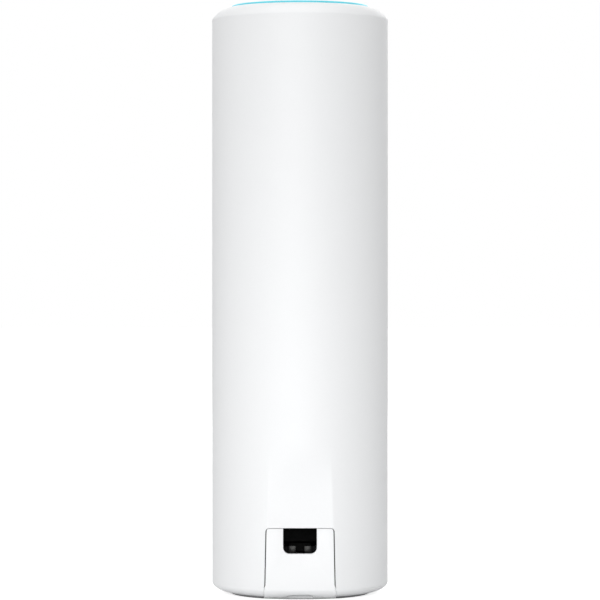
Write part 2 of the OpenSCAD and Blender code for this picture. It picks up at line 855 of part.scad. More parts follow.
// Wire that lies along the cavity's roof and springs back down into it
module jack_contact() {
    roof = plug_z + plug_h;
    front = jack_y + plug_l / 4;
    dip = plug_h / 3;
    polygon([
        [jack_y + plug_l, roof], [front, roof], [front, roof - contact_t],
        [jack_y + plug_l * 0.75, roof - dip], [jack_y + plug_l * 0.75, roof - dip + contact_t],
        [front + 2 * contact_t, roof - contact_t], [jack_y + plug_l, roof - contact_t]
    ]);
}

module jack_contacts() {
    count = 8;
    color("gold") for (i = [0:count - 1]) {
        x = (i - (count - 1) / 2) * contact_pitch;
        along_x(x - contact_t / 2, x + contact_t / 2) jack_contact();
    }
}

module reset_switch() {
    color("silver")
        block([button_x - switch_w / 2, switch_front, port_board_z - switch_h],
              [button_x + switch_w / 2, switch_front + switch_l, port_board_z]);
}

module reset_button() {
    color("darkgray") translate([button_x, 0, button_z]) {
        bar_y(button_d, bay_back - button_proud, button_end);
        bar_y(2 * button_collar_r, bay_rear + fit_gap, button_end);
    }
}

module port_bay() {
    out_half = bay_half + bay_t;
    jack_hole = jack_w / 2 + fit_gap;
    color("black") intersection() {
        difference() {
            block([-out_half, -body_r, seam_z], [out_half, bay_rear, bay_top + bay_t]);
            block([-bay_half, -body_r - over, bay_floor], [bay_half, bay_back, bay_top]);
            block([-jack_hole, bay_back - over, port_board_top - fit_gap], [jack_hole, bay_rear + over, bay_top]);
            translate([button_x, 0, button_z]) bar_y(button_d + 2 * slide_gap, bay_back - over, bay_rear + over);
        }
        cylinder(r = inner_r - fit_gap, h = body_h);
        block([-body_r, bay_front, 0], [body_r, body_r, body_h]);
    }
}

// Y-Z outline of the door's plate above the seam
module door_plate_section() {
    polygon([
        [face_y(seam_z), seam_z], [face_y(door_top_z), door_top_z],
        [door_back_y, door_top_z], [door_back_y, seam_z]
    ]);
}

// Y-Z outline of the rounded lip below the seam
module door_lip_section() {
    front = face_y(seam_z);
    lip_top = seam_z - slide_gap;
    intersection() {
        translate([front + body_r - base_cr, base_cz]) circle(r = base_edge_r);
        union() {
            translate([front - over, door_lip_lift]) square([door_lip_l + over, lip_top - door_lip_lift]);
            translate([front - over, door_lip_lift]) square([door_t + over, seam_z - door_lip_lift]);
        }
    }
}

module door_arm() {
    x1 = bay_half - slide_gap;
    z0 = bay_floor + slide_gap + arm_h / 2;
    block([x1 - arm_t, door_back_y - door_t / 2, z0], [x1, door_back_y + arm_l, z0 + arm_h]);
}

module rear_door() {
    lip_half = door_lip_w / 2;
    color("white") {
        difference() {
            intersection() {
                along_x(-body_r, body_r) door_plate_section();
                along_y(-body_d, 0) door_outline(0, 0, seam_z);
            }
            along_y(-body_d, 0) notch_outline();
        }
        difference() {
            along_x(-lip_half, lip_half) door_lip_section();
            along_y(-body_d, face_y(seam_z) + pull_l) translate([0, pull_z - pull_r]) circle(r = pull_r);
        }
        both_sides() door_arm();
    }
}

module base_section() {
    floor_t = seam_z - foot_lift;
    translate([0, foot_lift]) square([base_cr, floor_t]);
    intersection() {
        translate([base_cr, base_cz]) circle(r = base_edge_r);
        translate([base_cr - over, foot_lift]) square([body_r, floor_t]);
    }
}

// Rim that locates the base in the casing, left out at the bay and the bosses
module base_rim() {
    rim_r = inner_r - fit_gap;
    boss_space = post_d + 2 * slide_gap;
    difference() {
        translate([0, 0, seam_z - over]) cylinder(r = rim_r, h = rim_h + over);
        translate([0, 0, seam_z - 2 * over]) cylinder(r = rim_r - rim_t, h = rim_h + 3 * over);
        block([-lip_cut_half - over, -body_r, 0], [lip_cut_half + over, 0, body_h]);
        for (angle = base_screw_angles) rotate([0, 0, angle])
            block([foot_mid_r, -boss_space / 2, 0], [body_r, boss_space / 2, body_h]);
    }
}

// Plan of the foot, open at the door, grown all round
module foot_outline(grow) {
    open_half = lip_cut_half - grow;
    difference() {
        circle(r = foot_r + grow);
        circle(r = foot_r - foot_w - grow);
        translate([-open_half, -body_r]) square([2 * open_half, body_r]);
    }
}

module base_cap() {
    hole_d = screw_d + fit_gap;
    head_hole_d = screw_head_d + 2 * fit_gap;
    color("white") difference() {
        union() {
            rotate_extrude() base_section();
            base_rim();
            at_port_posts() translate([0, 0, seam_z - over]) cylinder(d = post_d, h = port_board_z - seam_z + over);
        }
        linear_extrude(foot_top) foot_outline(fit_gap);
        at_base_screws() {
            cylinder(d = hole_d, h = port_board_z);
            cylinder(d = head_hole_d, h = foot_top + screw_head_h);
        }
        at_port_posts() translate([0, 0, port_board_top - screw_l - fit_gap]) cylinder(d = hole_d, h = screw_l);
        block([-lip_cut_half, -body_r - over, 0], [lip_cut_half, lip_cut_back, body_h]);
    }
}

module foot_ring() {
    color("dimgray") linear_extrude(foot_top) foot_outline(0);
}

module base_screws() {
    color("gray") at_base_screws() translate([0, 0, foot_top + screw_head_h]) rotate([180, 0, 0]) screw();
}

module board_screws() {
    color("gray") {
        translate([0, 0, port_board_top]) at_port_posts() screw();
        for (x = [-carrier_leg_x, carrier_leg_x]) board_screw(x, carrier_screw_z);
    }
}

module heat_sink_screws() {
    color("gray") for (x = [-1, 1], z = sink_boss_z) board_screw(x * sink_boss_span / 2, z);
}

outer_casing();
top_cap();
light_ring();
led_board();
led_chips();
led_ribbon();
antenna_carrier();
low_band_antennas();
high_band_antennas();
coax_leads();
coax_plugs();
main_board();
heat_sink();
thermal_pads();
processor_shield();
radio_shields();
processor_chip();
memory_chips();
radio_chips();
power_transformer();
line_transformer();
power_capacitors();
power_inductors();
link_headers();
port_board();
jack_housing();
jack_shield();
latch_guides();
jack_contacts();
reset_switch();
reset_button();
port_bay();
rear_door();
base_cap();
foot_ring();
base_screws();
board_screws();
heat_sink_screws();
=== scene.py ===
"""Dresses the frame of a mesh wifi node: a slim white upright cylinder with a glowing ring on top."""

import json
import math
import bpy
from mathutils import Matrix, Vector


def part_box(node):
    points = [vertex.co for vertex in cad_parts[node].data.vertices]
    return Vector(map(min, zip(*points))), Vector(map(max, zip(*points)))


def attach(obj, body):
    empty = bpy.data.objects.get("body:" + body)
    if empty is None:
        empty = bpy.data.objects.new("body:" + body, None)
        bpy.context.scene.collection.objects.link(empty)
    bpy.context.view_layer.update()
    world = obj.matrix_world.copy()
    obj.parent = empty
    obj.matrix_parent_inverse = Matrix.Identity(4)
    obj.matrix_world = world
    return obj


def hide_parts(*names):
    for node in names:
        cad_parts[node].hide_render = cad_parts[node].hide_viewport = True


bl_info = {
    "name": "Mesh wifi node",
    "version": (1, 0, 0),
    "blender": (4, 5, 0),
    "location": "3D View > Sidebar > Mesh node",
    "description": "Builds the visible pieces, finishes and stage of a slim white mesh wifi node",
    "category": "Add Mesh",
}

import bmesh
import bpy
from bpy.props import FloatProperty, FloatVectorProperty, IntProperty, PointerProperty
from bpy.types import Node, NodeSocket, Operator, Panel, PropertyGroup, Scene
from mathutils import Euler, Vector

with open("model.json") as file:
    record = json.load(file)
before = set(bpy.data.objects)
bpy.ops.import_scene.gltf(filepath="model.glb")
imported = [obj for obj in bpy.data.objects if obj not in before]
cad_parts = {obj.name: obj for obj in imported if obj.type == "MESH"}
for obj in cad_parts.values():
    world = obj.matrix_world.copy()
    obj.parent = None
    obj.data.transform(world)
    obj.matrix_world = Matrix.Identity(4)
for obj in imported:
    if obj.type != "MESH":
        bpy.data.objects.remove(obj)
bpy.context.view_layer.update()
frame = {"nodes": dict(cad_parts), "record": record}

MM = 0.001

CASING_LOW, CASING_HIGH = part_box("outer_casing")
DOOR_LOW, DOOR_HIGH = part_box("rear_door")
RING_LOW, RING_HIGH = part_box("light_ring")
CAP_LOW, CAP_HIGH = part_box("top_cap")
BASE_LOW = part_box("base_cap")[0]
BODY_R = CASING_HIGH[0]
BODY_TOP = CASING_HIGH[2]
SEAM_Z = CASING_LOW[2]
DOOR_TOP = DOOR_HIGH[2]


def linear(hex_colour):
    """Linear colour of an sRGB hex value."""
    channels = [int(hex_colour[i:i + 2], 16) / 255 for i in (1, 3, 5)]
    return tuple(c / 12.92 if c <= 0.04045 else ((c + 0.055) / 1.055) ** 2.4 for c in channels)


def length(name, description, millimetres):
    return FloatProperty(
        name=name, description=description, default=millimetres * MM, subtype="DISTANCE", unit="LENGTH")


def lamp_power(name, description, watts):
    return FloatProperty(name=name, description=description, default=watts, subtype="POWER", unit="POWER")


def colour(name, description, hex_colour):
    return FloatVectorProperty(
        name=name, description=description, default=linear(hex_colour), subtype="COLOR", min=0, max=1)


class ShellSizes(PropertyGroup):
    """Sizes of the white shell that the frame's boxes don't give"""
    wall: length("Wall", "Thickness of the casing's wall", 2.0)
    shoulder_radius: length("Shoulder radius", "Radius of the crowned shoulder", 7.2)
    shoulder_drop: length("Shoulder drop", "Height of the shoulder above its crease", 3.35)
    shoulder_crease: length("Shoulder crease", "Softening of the crease under the shoulder", 0.3)
    facet_depth: length("Facet depth", "Depth of the rear flat at the seam", 1.92)
    facet_tilt: FloatProperty(
        name="Facet tilt", description="Lean of the rear flat", default=math.radians(0.68),
        subtype="ANGLE", unit="ROTATION")
    facet_full: length("Facet full", "Height where the rear flat begins to fade", 27.0)
    facet_fade: length("Facet fade", "Length over which the rear flat fades out", 16.5)
    facet_crease: length("Facet crease", "Softening of the flat's edges", 0.12)
    turn_height: length("Turn height", "Height where the wall begins to turn in below", 3.15)
    turn_radius: length("Turn radius", "Radius of the wall's turn into the rounded lower edge", 1.3)
    tuck_height: length("Tuck height", "Height under which the lower edge tucks in further", 1.7)
    tuck: length("Tuck", "How far the lower edge has tucked in at the base's underside", 0.7)
    edge_round: length("Edge round", "Rounding of the casing's free edges", 0.12)
    lip_round: length("Lip round", "Rounding of the casing's lip round the light", 0.2)
    lip_depth: length("Lip depth", "Depth of the casing's lip round the light", 1.9)
    ring_gap: length("Ring gap", "Gap between the casing's lip and the light ring", 0.1)
    foot_round: length("Foot round", "Rounding of the rubber foot's edges", 0.2)


class DoorSizes(PropertyGroup):
    """Sizes of the door, its finger arch and its opening in the casing"""
    top_width: length("Top width", "Width of the door at its top", 18.0)
    bottom_width: length("Bottom width", "Width of the door at the seam", 18.7)
    gap: length("Gap", "Gap beside the door", 0.28)
    top_gap: length("Top gap", "Gap above the door", 0.13)
    flare: length("Flare", "Rounding of the opening's lower corners", 0.35)
    foot_height: length("Foot height", "Height of the door's wider foot", 3.6)
    hook: length("Hook", "Height over which the door widens into its foot", 0.6)
    foot_gap: length("Foot gap", "Gap beside the door's wider foot and its lip", 0.06)
    lip_gap: length("Lip gap", "Gap beside the solid's lip", 0.12)
    corner: length("Corner", "Radius of the door's top corners", 0.75)
    bevel: length("Bevel", "Rounding of the door's edges", 0.16)
    pull_width: length("Pull width", "Width of the finger arch under the door", 7.4)
    pull_top: length("Pull top", "Height of the finger arch's flat top", 1.42)
    pull_depth: length("Pull depth", "Depth of the finger arch behind the flat", 4.05)
    pull_squareness: FloatProperty(
        name="Pull squareness", description="How square the finger arch is, 2 being round",
        default=4.5, min=2, max=12)


class LightSizes(PropertyGroup):
    """Sizes of the light ring and the cap"""
    ring_width: length("Ring width", "Width of the light ring", 2.2)
    ring_outer: length("Ring radius", "Outer radius of the light ring", 19.05)
    ring_round: length("Ring round", "Rounding of the ring's top corners", 0.7)
    flange_rise: length("Flange rise", "Height of the ring's flange above its lower edge", 5.5)
    flange: length("Flange", "Thickness of the ring's flange", 1.6)
    skirt: length("Skirt", "Thickness of the ring's skirt", 0.9)
    cap_crown: length("Cap crown", "Rise of the cap's middle above its edge", 0.25)
    cap_round: length("Cap round", "Rounding of the cap's edge", 0.4)
    cap_disc: length("Cap disc", "Thickness of the cap's disc", 1.8)
    cap_skirt: length("Cap skirt", "Thickness of the cap's skirt", 1.5)
    cap_step: length("Cap step", "Step from the cap's edge in to its skirt", 0.1)
    segments: IntProperty(
        name="Segments", description="Steps round the ring and the cap", default=192, min=48)


class FinishColours(PropertyGroup):
    """Colours of what shows"""
    shell: colour("Shell", "White moulded shell", "#F3F4F5")
    glow: colour("Glow", "Light of the ring", "#55B7C4")
    diffuser: colour("Diffuser", "Unlit colour of the ring", "#3F95A3")
    rubber: colour("Rubber", "Foot", "#98989A")
    # The arch's colour below is painted shade: the inside of the finger arch is drawn greyer to stand for
    # the shade in that recess.
    arch_painted_shade: colour("Grip", "Etched inside of the finger arch", "#DDDEDF")
    black: colour("Black", "Socket and bay", "#070708")
    # The plated metal's grey below is darker than the metal's own: painted shade of the dim socket behind
    # the door.
    shade_darkened_tin: colour("Tin", "Plated sheet metal", "#4E4E4D")


def panel_group(name):
    """The panel's settings of one group."""
    return getattr(bpy.context.scene, "mesh_node_" + name)


# Node trees

def add(tree, kind, inputs=None, **settings):
    """Adds a node with its settings. An input is a value, a socket that feeds it, a node whose first output
    feeds it, or a list of them."""
    node = tree.nodes.new(kind)
    for name, value in settings.items():
        setattr(node, name, value)
    for name, value in (inputs or {}).items():
        for feed in value if isinstance(value, list) else [value]:
            if isinstance(feed, Node):
                feed = feed.outputs[0]
            if isinstance(feed, NodeSocket):
                tree.links.new(feed, node.inputs[name])
            else:
                node.inputs[name].default_value = feed
    return node


def new_material(name):
    material = bpy.data.materials.new(name)
    material.use_nodes = True
    material.node_tree.nodes.clear()
    return material, material.node_tree


def rgba(rgb):
    return (*rgb, 1.0)


# Part of the noise's range that carries a grain's contrast, and how far its gloss swings either way
GRAIN_BAND = (0.3, 0.7)
GLOSS_SWING = 0.06
# A grain that isn't drawn out along any axis
EVEN = (1, 1, 1)


def grained(name, light, dark, grain, roughness, bump, stretch=EVEN, **shader):
    """Finish whose colour, gloss and relief follow one grain of that real size."""
    material, tree = new_material(name)
    place = add(tree, "ShaderNodeTexCoord")
    turned = add(tree, "ShaderNodeMapping", {"Vector": place.outputs["Object"], "Scale": stretch})
    noise = add(tree, "ShaderNodeTexNoise", {
        "Vector": turned, "Scale": 1 / grain, "Detail": 3.0, "Roughness": 0.55})
    tint = add(tree, "ShaderNodeValToRGB", {"Fac": noise})
    for stop, position, rgb in zip(tint.color_ramp.elements, GRAIN_BAND, (dark, light)):
        stop.position = position
        stop.color = rgba(rgb)
    gloss = add(tree, "ShaderNodeMapRange", {
        "Value": noise, "From Min": GRAIN_BAND[0], "From Max": GRAIN_BAND[1],
        "To Min": roughness - GLOSS_SWING, "To Max": roughness + GLOSS_SWING})
    relief = add(tree, "ShaderNodeBump", {"Height": noise, "Strength": bump, "Distance": grain / 4})
    surface = add(tree, "ShaderNodeBsdfPrincipled", {
        "Base Color": tint, "Roughness": gloss, "Normal": relief, **shader})
    add(tree, "ShaderNodeOutputMaterial", {"Surface": surface})
    return material


def faded(rgb, share):
    return tuple(c * share for c in rgb)


def moulded_polycarbonate():
    """Polycarbonate moulded in a spark-eroded tool: matte white, an even fine grain, a soft sheen.
    The real grain is about 0.1 mm; 0.35 mm is the finest that shows in a close view."""
    white = panel_group("finish").shell
    return grained("moulded_white_polycarbonate", white, faded(white, 0.985), 0.35 * MM, 0.5,
                   bump=0.045, IOR=1.58)


def arch_shade_polycarbonate():
    """The shell's plastic inside the finger arch: greyer as painted shade of that recess, and rougher, with
    a grain of about 0.3 mm.
    """
    arch_painted_shade = panel_group("finish").arch_painted_shade
    return grained("arch_painted_shade_polycarbonate", arch_painted_shade, faded(arch_painted_shade, 0.94), 0.3 * MM, 0.75, 0.3)


# Strength of the ring's own light between and over its chips, its gloss, and the size of its haze
GLOW_LEVELS = (0.72, 0.8)
DIFFUSER_GLOSS = (0.3, 0.42)
HAZE = 1.5 * MM


def glowing_diffuser():
    """Opal acrylic lit from below: bright cyan, a little stronger over each light chip."""
    material, tree = new_material("opal_acrylic_lit_cyan")
    chips = len(solids("led_chips"))
    place = add(tree, "ShaderNodeTexCoord")
    axes = add(tree, "ShaderNodeSeparateXYZ", {"Vector": place.outputs["Object"]})
    angle = add(tree, "ShaderNodeMath", {0: axes.outputs["Y"], 1: axes.outputs["X"]}, operation="ARCTAN2")
    turns = add(tree, "ShaderNodeMath", {0: angle, 1: float(chips)}, operation="MULTIPLY")
    spots = add(tree, "ShaderNodeMath", {0: turns}, operation="COSINE")
    power = add(tree, "ShaderNodeMapRange", {
        "Value": spots, "From Min": -1.0, "From Max": 1.0,
        "To Min": GLOW_LEVELS[0], "To Max": GLOW_LEVELS[1]})
    haze = add(tree, "ShaderNodeTexNoise", {
        "Vector": place.outputs["Object"], "Scale": 1 / HAZE, "Detail": 2.0})
    gloss = add(tree, "ShaderNodeMapRange", {
        "Value": haze, "To Min": DIFFUSER_GLOSS[0], "To Max": DIFFUSER_GLOSS[1]})
    surface = add(tree, "ShaderNodeBsdfPrincipled", {
        "Base Color": rgba(panel_group("finish").diffuser), "Roughness": gloss, "IOR": 1.49,
        "Emission Color": rgba(panel_group("finish").glow), "Emission Strength": power})
    add(tree, "ShaderNodeOutputMaterial", {"Surface": surface})
    return material


def moulded_rubber():
    """Moulded thermoplastic rubber: mid grey, dull, with a faint pebble."""
    grey = panel_group("finish").rubber
    return grained("moulded_grey_rubber", grey, faded(grey, 0.8), 0.4 * MM, 0.82, bump=0.25, IOR=1.5)


def moulded_black_polymer():
    """Glass-filled polyester moulding: near black, a satin grain."""
    black = panel_group("finish").black
    return grained("moulded_black_polyester", black, faded(black, 0.75), 0.3 * MM, 0.6, bump=0.12, IOR=1.3)


def plated_tin_sheet_painted_shade():
    """Rolled sheet with matt tin: a metal grey darkened as painted shade of the dim socket, with fine
    rolling lines along Y.
    """
    shade_darkened_tin = panel_group("finish").shade_darkened_tin
    return grained("matt_tin_sheet_painted_shade", shade_darkened_tin, faded(shade_darkened_tin, 0.8), 0.25 * MM, 0.42, bump=0.1,
                   stretch=(1, 0.08, 1), Metallic=1.0)


# Finishes with colours of the panel, by the record's material slots
SHOWN_FINISHES = {
    "white_shell": moulded_polycarbonate,
    "light_diffuser": glowing_diffuser,
    "foot_rubber": moulded_rubber,
    "black_plastic": moulded_black_polymer,
    "tin_plate": plated_tin_sheet_painted_shade,
}
# The other finishes: name, light and dark tint, grain in mm, roughness, relief, how the grain is drawn out
# along the axes, and the shader's own values
METAL = {"Metallic": 1.0}
OTHER_FINISHES = {
    # Satin moulding of the button and the antenna frame, with a fine grain
    "grey_plastic": ("moulded_grey_polymer", "#6F7072", "#646567", 0.3, 0.5, 0.12, EVEN, {"IOR": 1.53}),
    # Thin gold over nickel: warm, bright, with faint drawing lines
    "gold_plate": ("gold_flash_on_nickel", "#E2BE74", "#C79D4F", 0.2, 0.28, 0.06, (1, 0.1, 1), METAL),
    # Glass-epoxy board under green solder mask, with the weave and copper faintly showing
    "circuit_board": ("green_soldermask_board", "#1F5A35", "#17462A", 1.6, 0.36, 0.15, EVEN, {"IOR": 1.55}),
    # Charcoal resin, matt, with a fine filler speckle
    "chip_resin": ("charcoal_chip_resin", "#2A2A2C", "#1F1F21", 0.15, 0.6, 0.1, EVEN, {"IOR": 1.55}),
    # Pale yellow phosphor gel, smooth and slightly glossy
    "light_chip": ("phosphor_gel", "#F2E7A8", "#E6D583", 0.3, 0.3, 0.05, EVEN, {"IOR": 1.45}),
    # Polyimide film: clear amber over copper lines that run along it
    "ribbon_film": ("amber_polyimide_film", "#C98A2E", "#A56A1C", 0.5, 0.32, 0.08, (1, 1, 0.04),
                    {"IOR": 1.7}),
    # Stamped bronze: brownish gold with rolling lines
    "antenna_metal": ("stamped_phosphor_bronze", "#C9A368", "#B08B52", 0.3, 0.36, 0.1, (1, 1, 0.08), METAL),
    # Extruded fluoropolymer: smooth dark grey, lightly streaked along its length
    "coax_jacket": ("grey_coax_jacket", "#5B5B5E", "#4C4C4F", 0.4, 0.4, 0.04, (1, 1, 0.1), {"IOR": 1.4}),
    # Bare extrusion: pale metal with upright die lines
    "cast_aluminium": ("bare_extruded_aluminium", "#D3D5D7", "#BDBFC2", 0.35, 0.36, 0.12, (1, 1, 0.03),
                       METAL),
    # Silicone gap pad: dull blue grey, soft, lightly mottled
    "pad_gel": ("blue_silicone_pad", "#93A9BB", "#7F97AB", 0.8, 0.75, 0.2, EVEN, {"IOR": 1.41}),
    # Ground ferrite: dark grey, stony, with small pits
    "ferrite": ("ground_ferrite", "#414346", "#2C2E31", 0.35, 0.62, 0.35, EVEN, {"IOR": 1.6}),
    # Deep-drawn can: grey metal with faint draw marks
    "capacitor_can": ("drawn_aluminium_can", "#A5A8AB", "#8F9296", 0.3, 0.34, 0.08, (1, 0.06, 1), METAL),
    # Zinc plating: bluish grey metal with a fine crystal mottle
    "screw_steel": ("zinc_plated_steel", "#B3B7BC", "#979BA1", 0.5, 0.38, 0.1, EVEN, METAL),
}
NODE_SLOTS = {part["node"]: part["material_slot"] for part in frame["record"]["subparts"]}
made_finishes = {}


def finish_of(slot):
    """The material of a slot, made once."""
    if slot not in made_finishes:
        if slot in SHOWN_FINISHES:
            made_finishes[slot] = SHOWN_FINISHES[slot]()
        else:
            name, light, dark, grain, roughness, bump, stretch, shader = OTHER_FINISHES[slot]
            made_finishes[slot] = grained(
                name, linear(light), linear(dark), grain * MM, roughness, bump, stretch, **shader)
    return made_finishes[slot]


# Meshes

# Degrees past which an edge counts as sharp, and under which two faces count as one flat
SHARP = 32
FLAT = 0.5
# Points nearer than this are one, in a copy of a solid and in a turned piece
MERGE = 0.002 * MM
TURNED_MERGE = 0.001 * MM
# Slack of a plane that cuts a mesh, in metres
CUT_SLACK = 1e-7
# Steps of a rounded edge
ROUNDING_STEPS = 2


def body_of_node(node):
    bodies = frame["record"]["behaviour"]["bodies"]
    return next(body for body, members in bodies.items() if node in members)


def place_piece(obj, node):
    """The piece stands for a node: it rides on its body and hides it."""
    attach(obj, body_of_node(node))
    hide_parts(node)


def add_object(name, data):
    obj = bpy.data.objects.new(name, data)
    bpy.context.scene.collection.objects.link(obj)
    return obj


def shade(mesh, sharp=SHARP):
    """Smooth faces, with sharp edges above an angle."""
    mesh.polygons.foreach_set("use_smooth", [True] * len(mesh.polygons))
    mesh.set_sharp_from_angle(angle=math.radians(sharp))


def mesh_object(name, verts, faces, material, sharp=SHARP):
    mesh = bpy.data.meshes.new(name)
    mesh.from_pydata([tuple(v) for v in verts], [], faces)
    mesh.validate()
    mesh.materials.append(material)
    shade(mesh, sharp)
    mesh.update()
    return add_object(name, mesh)


def merged_copy(node):
    """bmesh of a node's solids with their loose triangles joined."""
    bm = bmesh.new()
    bm.from_mesh(frame["nodes"][node].data)
    bmesh.ops.remove_doubles(bm, verts=bm.verts, dist=MERGE)
    return bm


def solids(node):
    """Points of each separate solid in a node, in the order of the solids' lowest corners."""
    bm = merged_copy(node)
    islands = []
    left = set(bm.verts)
    while left:
        queue = [left.pop()]
        island = []
        while queue:
            vert = queue.pop()
            island.append(vert.co.copy())
            for edge in vert.link_edges:
                other = edge.other_vert(vert)
                if other in left:
                    left.remove(other)
                    queue.append(other)
        islands.append(island)
    bm.free()
    return sorted(islands, key=lambda island: box_of(island)[0].to_tuple(5))


def box_of(points):
    """Lowest and highest corner of some points."""
    low = Vector([min(co[i] for co in points) for i in range(3)])
    high = Vector([max(co[i] for co in points) for i in range(3)])
    return low, high


def dressed_copy(name, node, rounding, cutter=None):
    """Copy of a node whose flat faces are whole again, cut by a cutter and with its edges rounded."""
    bm = merged_copy(node)
    bmesh.ops.dissolve_limit(
        bm, angle_limit=math.radians(FLAT), verts=bm.verts, edges=bm.edges, delimit={"NORMAL"})
    mesh = bpy.data.meshes.new(name)
    bm.to_mesh(mesh)
    bm.free()
    mesh.materials.append(finish_of(NODE_SLOTS[node]))
    obj = add_object(name, mesh)
    if cutter:
        cut = obj.modifiers.new("cut", "BOOLEAN")
        cut.operation = "DIFFERENCE"
        cut.solver = "EXACT"
        cut.material_mode = "TRANSFER"
        cut.object = cutter
    if rounding:
        bevel = obj.modifiers.new("rounding", "BEVEL")
        bevel.width = rounding
        bevel.segments = ROUNDING_STEPS
        bevel.limit_method = "ANGLE"
        bevel.angle_limit = math.radians(SHARP)
        bevel.use_clamp_overlap = True
        bevel.miter_outer = "MITER_ARC"
    if obj.modifiers:
        bake_modifiers(obj)
    shade(obj.data)
    place_piece(obj, node)
    return obj


def bake_modifiers(obj):
    """Turns the evaluated object into a plain mesh and removes its modifiers."""
    depsgraph = bpy.context.evaluated_depsgraph_get()
    mesh = bpy.data.meshes.new_from_object(obj.evaluated_get(depsgraph))
    obj.modifiers.clear()
    obj.data = mesh


def arc(centre, radius, start, end, steps):
    """Points of a circular arc, angles in degrees."""
    angles = [math.radians(start + (end - start) * i / steps) for i in range(steps + 1)]
    return [(centre[0] + radius * math.cos(a), centre[1] + radius * math.sin(a)) for a in angles]


def mix(a, b, t):
    return a + (b - a) * t


def smooth_step(t):
    t = min(max(t, 0.0), 1.0)
    return t * t * (3 - 2 * t)


def smooth_max(a, b, width):
    """Larger of two values, rounded where they are nearer than width."""
    if width <= 0:
        return max(a, b)
    near = max(width - abs(a - b), 0.0) / width
    return max(a, b) + near * near * width / 4


# Geometry trees

# Inputs that are whole numbers
COUNTS = ("Count", "Segments")


def new_tree(name, *sizes):
    """Geometry tree with a seed and named sizes as its inputs, and the sockets that give them."""
    tree = bpy.data.node_groups.new(name, "GeometryNodeTree")
    for side in ("INPUT", "OUTPUT"):
        tree.interface.new_socket("Geometry", in_out=side, socket_type="NodeSocketGeometry")
    for label in sizes:
        kind = "NodeSocketInt" if label in COUNTS else "NodeSocketFloat"
        tree.interface.new_socket(label, in_out="INPUT", socket_type=kind)
    return tree, add(tree, "NodeGroupInput").outputs


def end_tree(tree, geometry, material):
    """Makes the tree's instances real and gives them their finish."""
    whole = add(tree, "GeometryNodeRealizeInstances", {"Geometry": geometry})
    dressed = add(tree, "GeometryNodeSetMaterial", {"Geometry": whole, "Material": material})
    add(tree, "NodeGroupOutput", {"Geometry": dressed})
    return tree


def seed_mesh(name, points, edges=()):
    mesh = bpy.data.meshes.new(name)
    mesh.from_pydata([tuple(point) for point in points], list(edges), [])
    return mesh


def grown(name, node, tree, seed, sizes, sharp=SHARP):
    """Piece that a tree grows from a seed, made a plain mesh, in the place of a node."""
    obj = add_object(name, seed)
    shape = obj.modifiers.new("shape", "NODES")
    shape.node_group = tree
    for socket in tree.interface.items_tree:
        if socket.name in sizes:
            shape[socket.identifier] = sizes[socket.name]
    bake_modifiers(obj)
    # The nodes' primitives bring an empty first slot
    if obj.data.materials[0] is None:
        obj.data.materials.pop(index=0)
    shade(obj.data, sharp)
    place_piece(obj, node)
    return obj


def turned_tree(material):
    """A half section, drawn as (radius less the path's, height), swept round the upright axis."""
    tree, size = new_tree("turned_section", "Radius", "Segments")
    section = add(tree, "GeometryNodeMeshToCurve", {"Mesh": size["Geometry"]})
    path = add(tree, "GeometryNodeCurvePrimitiveCircle", {
        "Resolution": size["Segments"], "Radius": size["Radius"]}, mode="RADIUS")
    sheet = add(tree, "GeometryNodeCurveToMesh", {"Curve": path, "Profile Curve": section})
    joined = add(tree, "GeometryNodeMergeByDistance", {"Geometry": sheet, "Distance": TURNED_MERGE})
    return end_tree(tree, joined, material)


def turned_piece(name, node, section, closed):
    """Turned piece of a half section given as (radius, height) points."""
    radius = max(r for r, _ in section) / 2
    points = [(r - radius, -z, 0) for r, z in reversed(section)]
    edges = [(i, i + 1) for i in range(len(points) - 1)]
    if closed:
        edges.append((len(points) - 1, 0))
    tree = turned_tree(finish_of(NODE_SLOTS[node]))
    sizes = {"Radius": radius, "Segments": panel_group("light").segments}
    return grown(name, node, tree, seed_mesh(name, points, edges), sizes, sharp=40)


# Casing

def facet_plane(z):
    """Front of the rear flat at a height."""
    sizes = panel_group("shell")
    return -(BODY_R - sizes.facet_depth) - (z - SEAM_Z) * math.tan(sizes.facet_tilt)


def wall_y(x, z):
    """Front of the outer wall: round, with the flat that fades upwards into it."""
    sizes = panel_group("shell")
    round_y = -math.sqrt(BODY_R ** 2 - x ** 2)
    fade = smooth_step((z - sizes.facet_full) / sizes.facet_fade)
    flat = mix(facet_plane(z), round_y, fade)
    return smooth_max(round_y, flat, sizes.facet_crease * (1 - fade))


# Share of the turn's radius that the wall passes through before the rounded lower edge takes over
TURN_SHARE = 0.65
# Points of the base nearer the axis than this belong to its inside
EDGE_INNER_R = 20 * MM


def turn_inset(z):
    """How far the wall has turned in at a height near the seam."""
    sizes = panel_group("shell")
    below = min(max(sizes.turn_height - z, 0.0), TURN_SHARE * sizes.turn_radius)
    return sizes.turn_radius - math.sqrt(sizes.turn_radius ** 2 - below ** 2)


def turn_in(piece, heights, limit, columns=()):
    """Cuts rows and columns into a piece, and lets a limit move its points."""
    bm = bmesh.new()
    bm.from_mesh(piece.data)
    cuts = [((x, 0, 0), (1, 0, 0)) for x in columns]
    cuts += [((0, 0, z), (0, 0, 1)) for z in heights]
    for place, direction in cuts:
        whole = bm.verts[:] + bm.edges[:] + bm.faces[:]
        bmesh.ops.bisect_plane(bm, geom=whole, dist=CUT_SLACK, plane_co=place, plane_no=direction)
    for vert in bm.verts:
        limit(vert.co)
    bm.to_mesh(piece.data)
    bm.free()


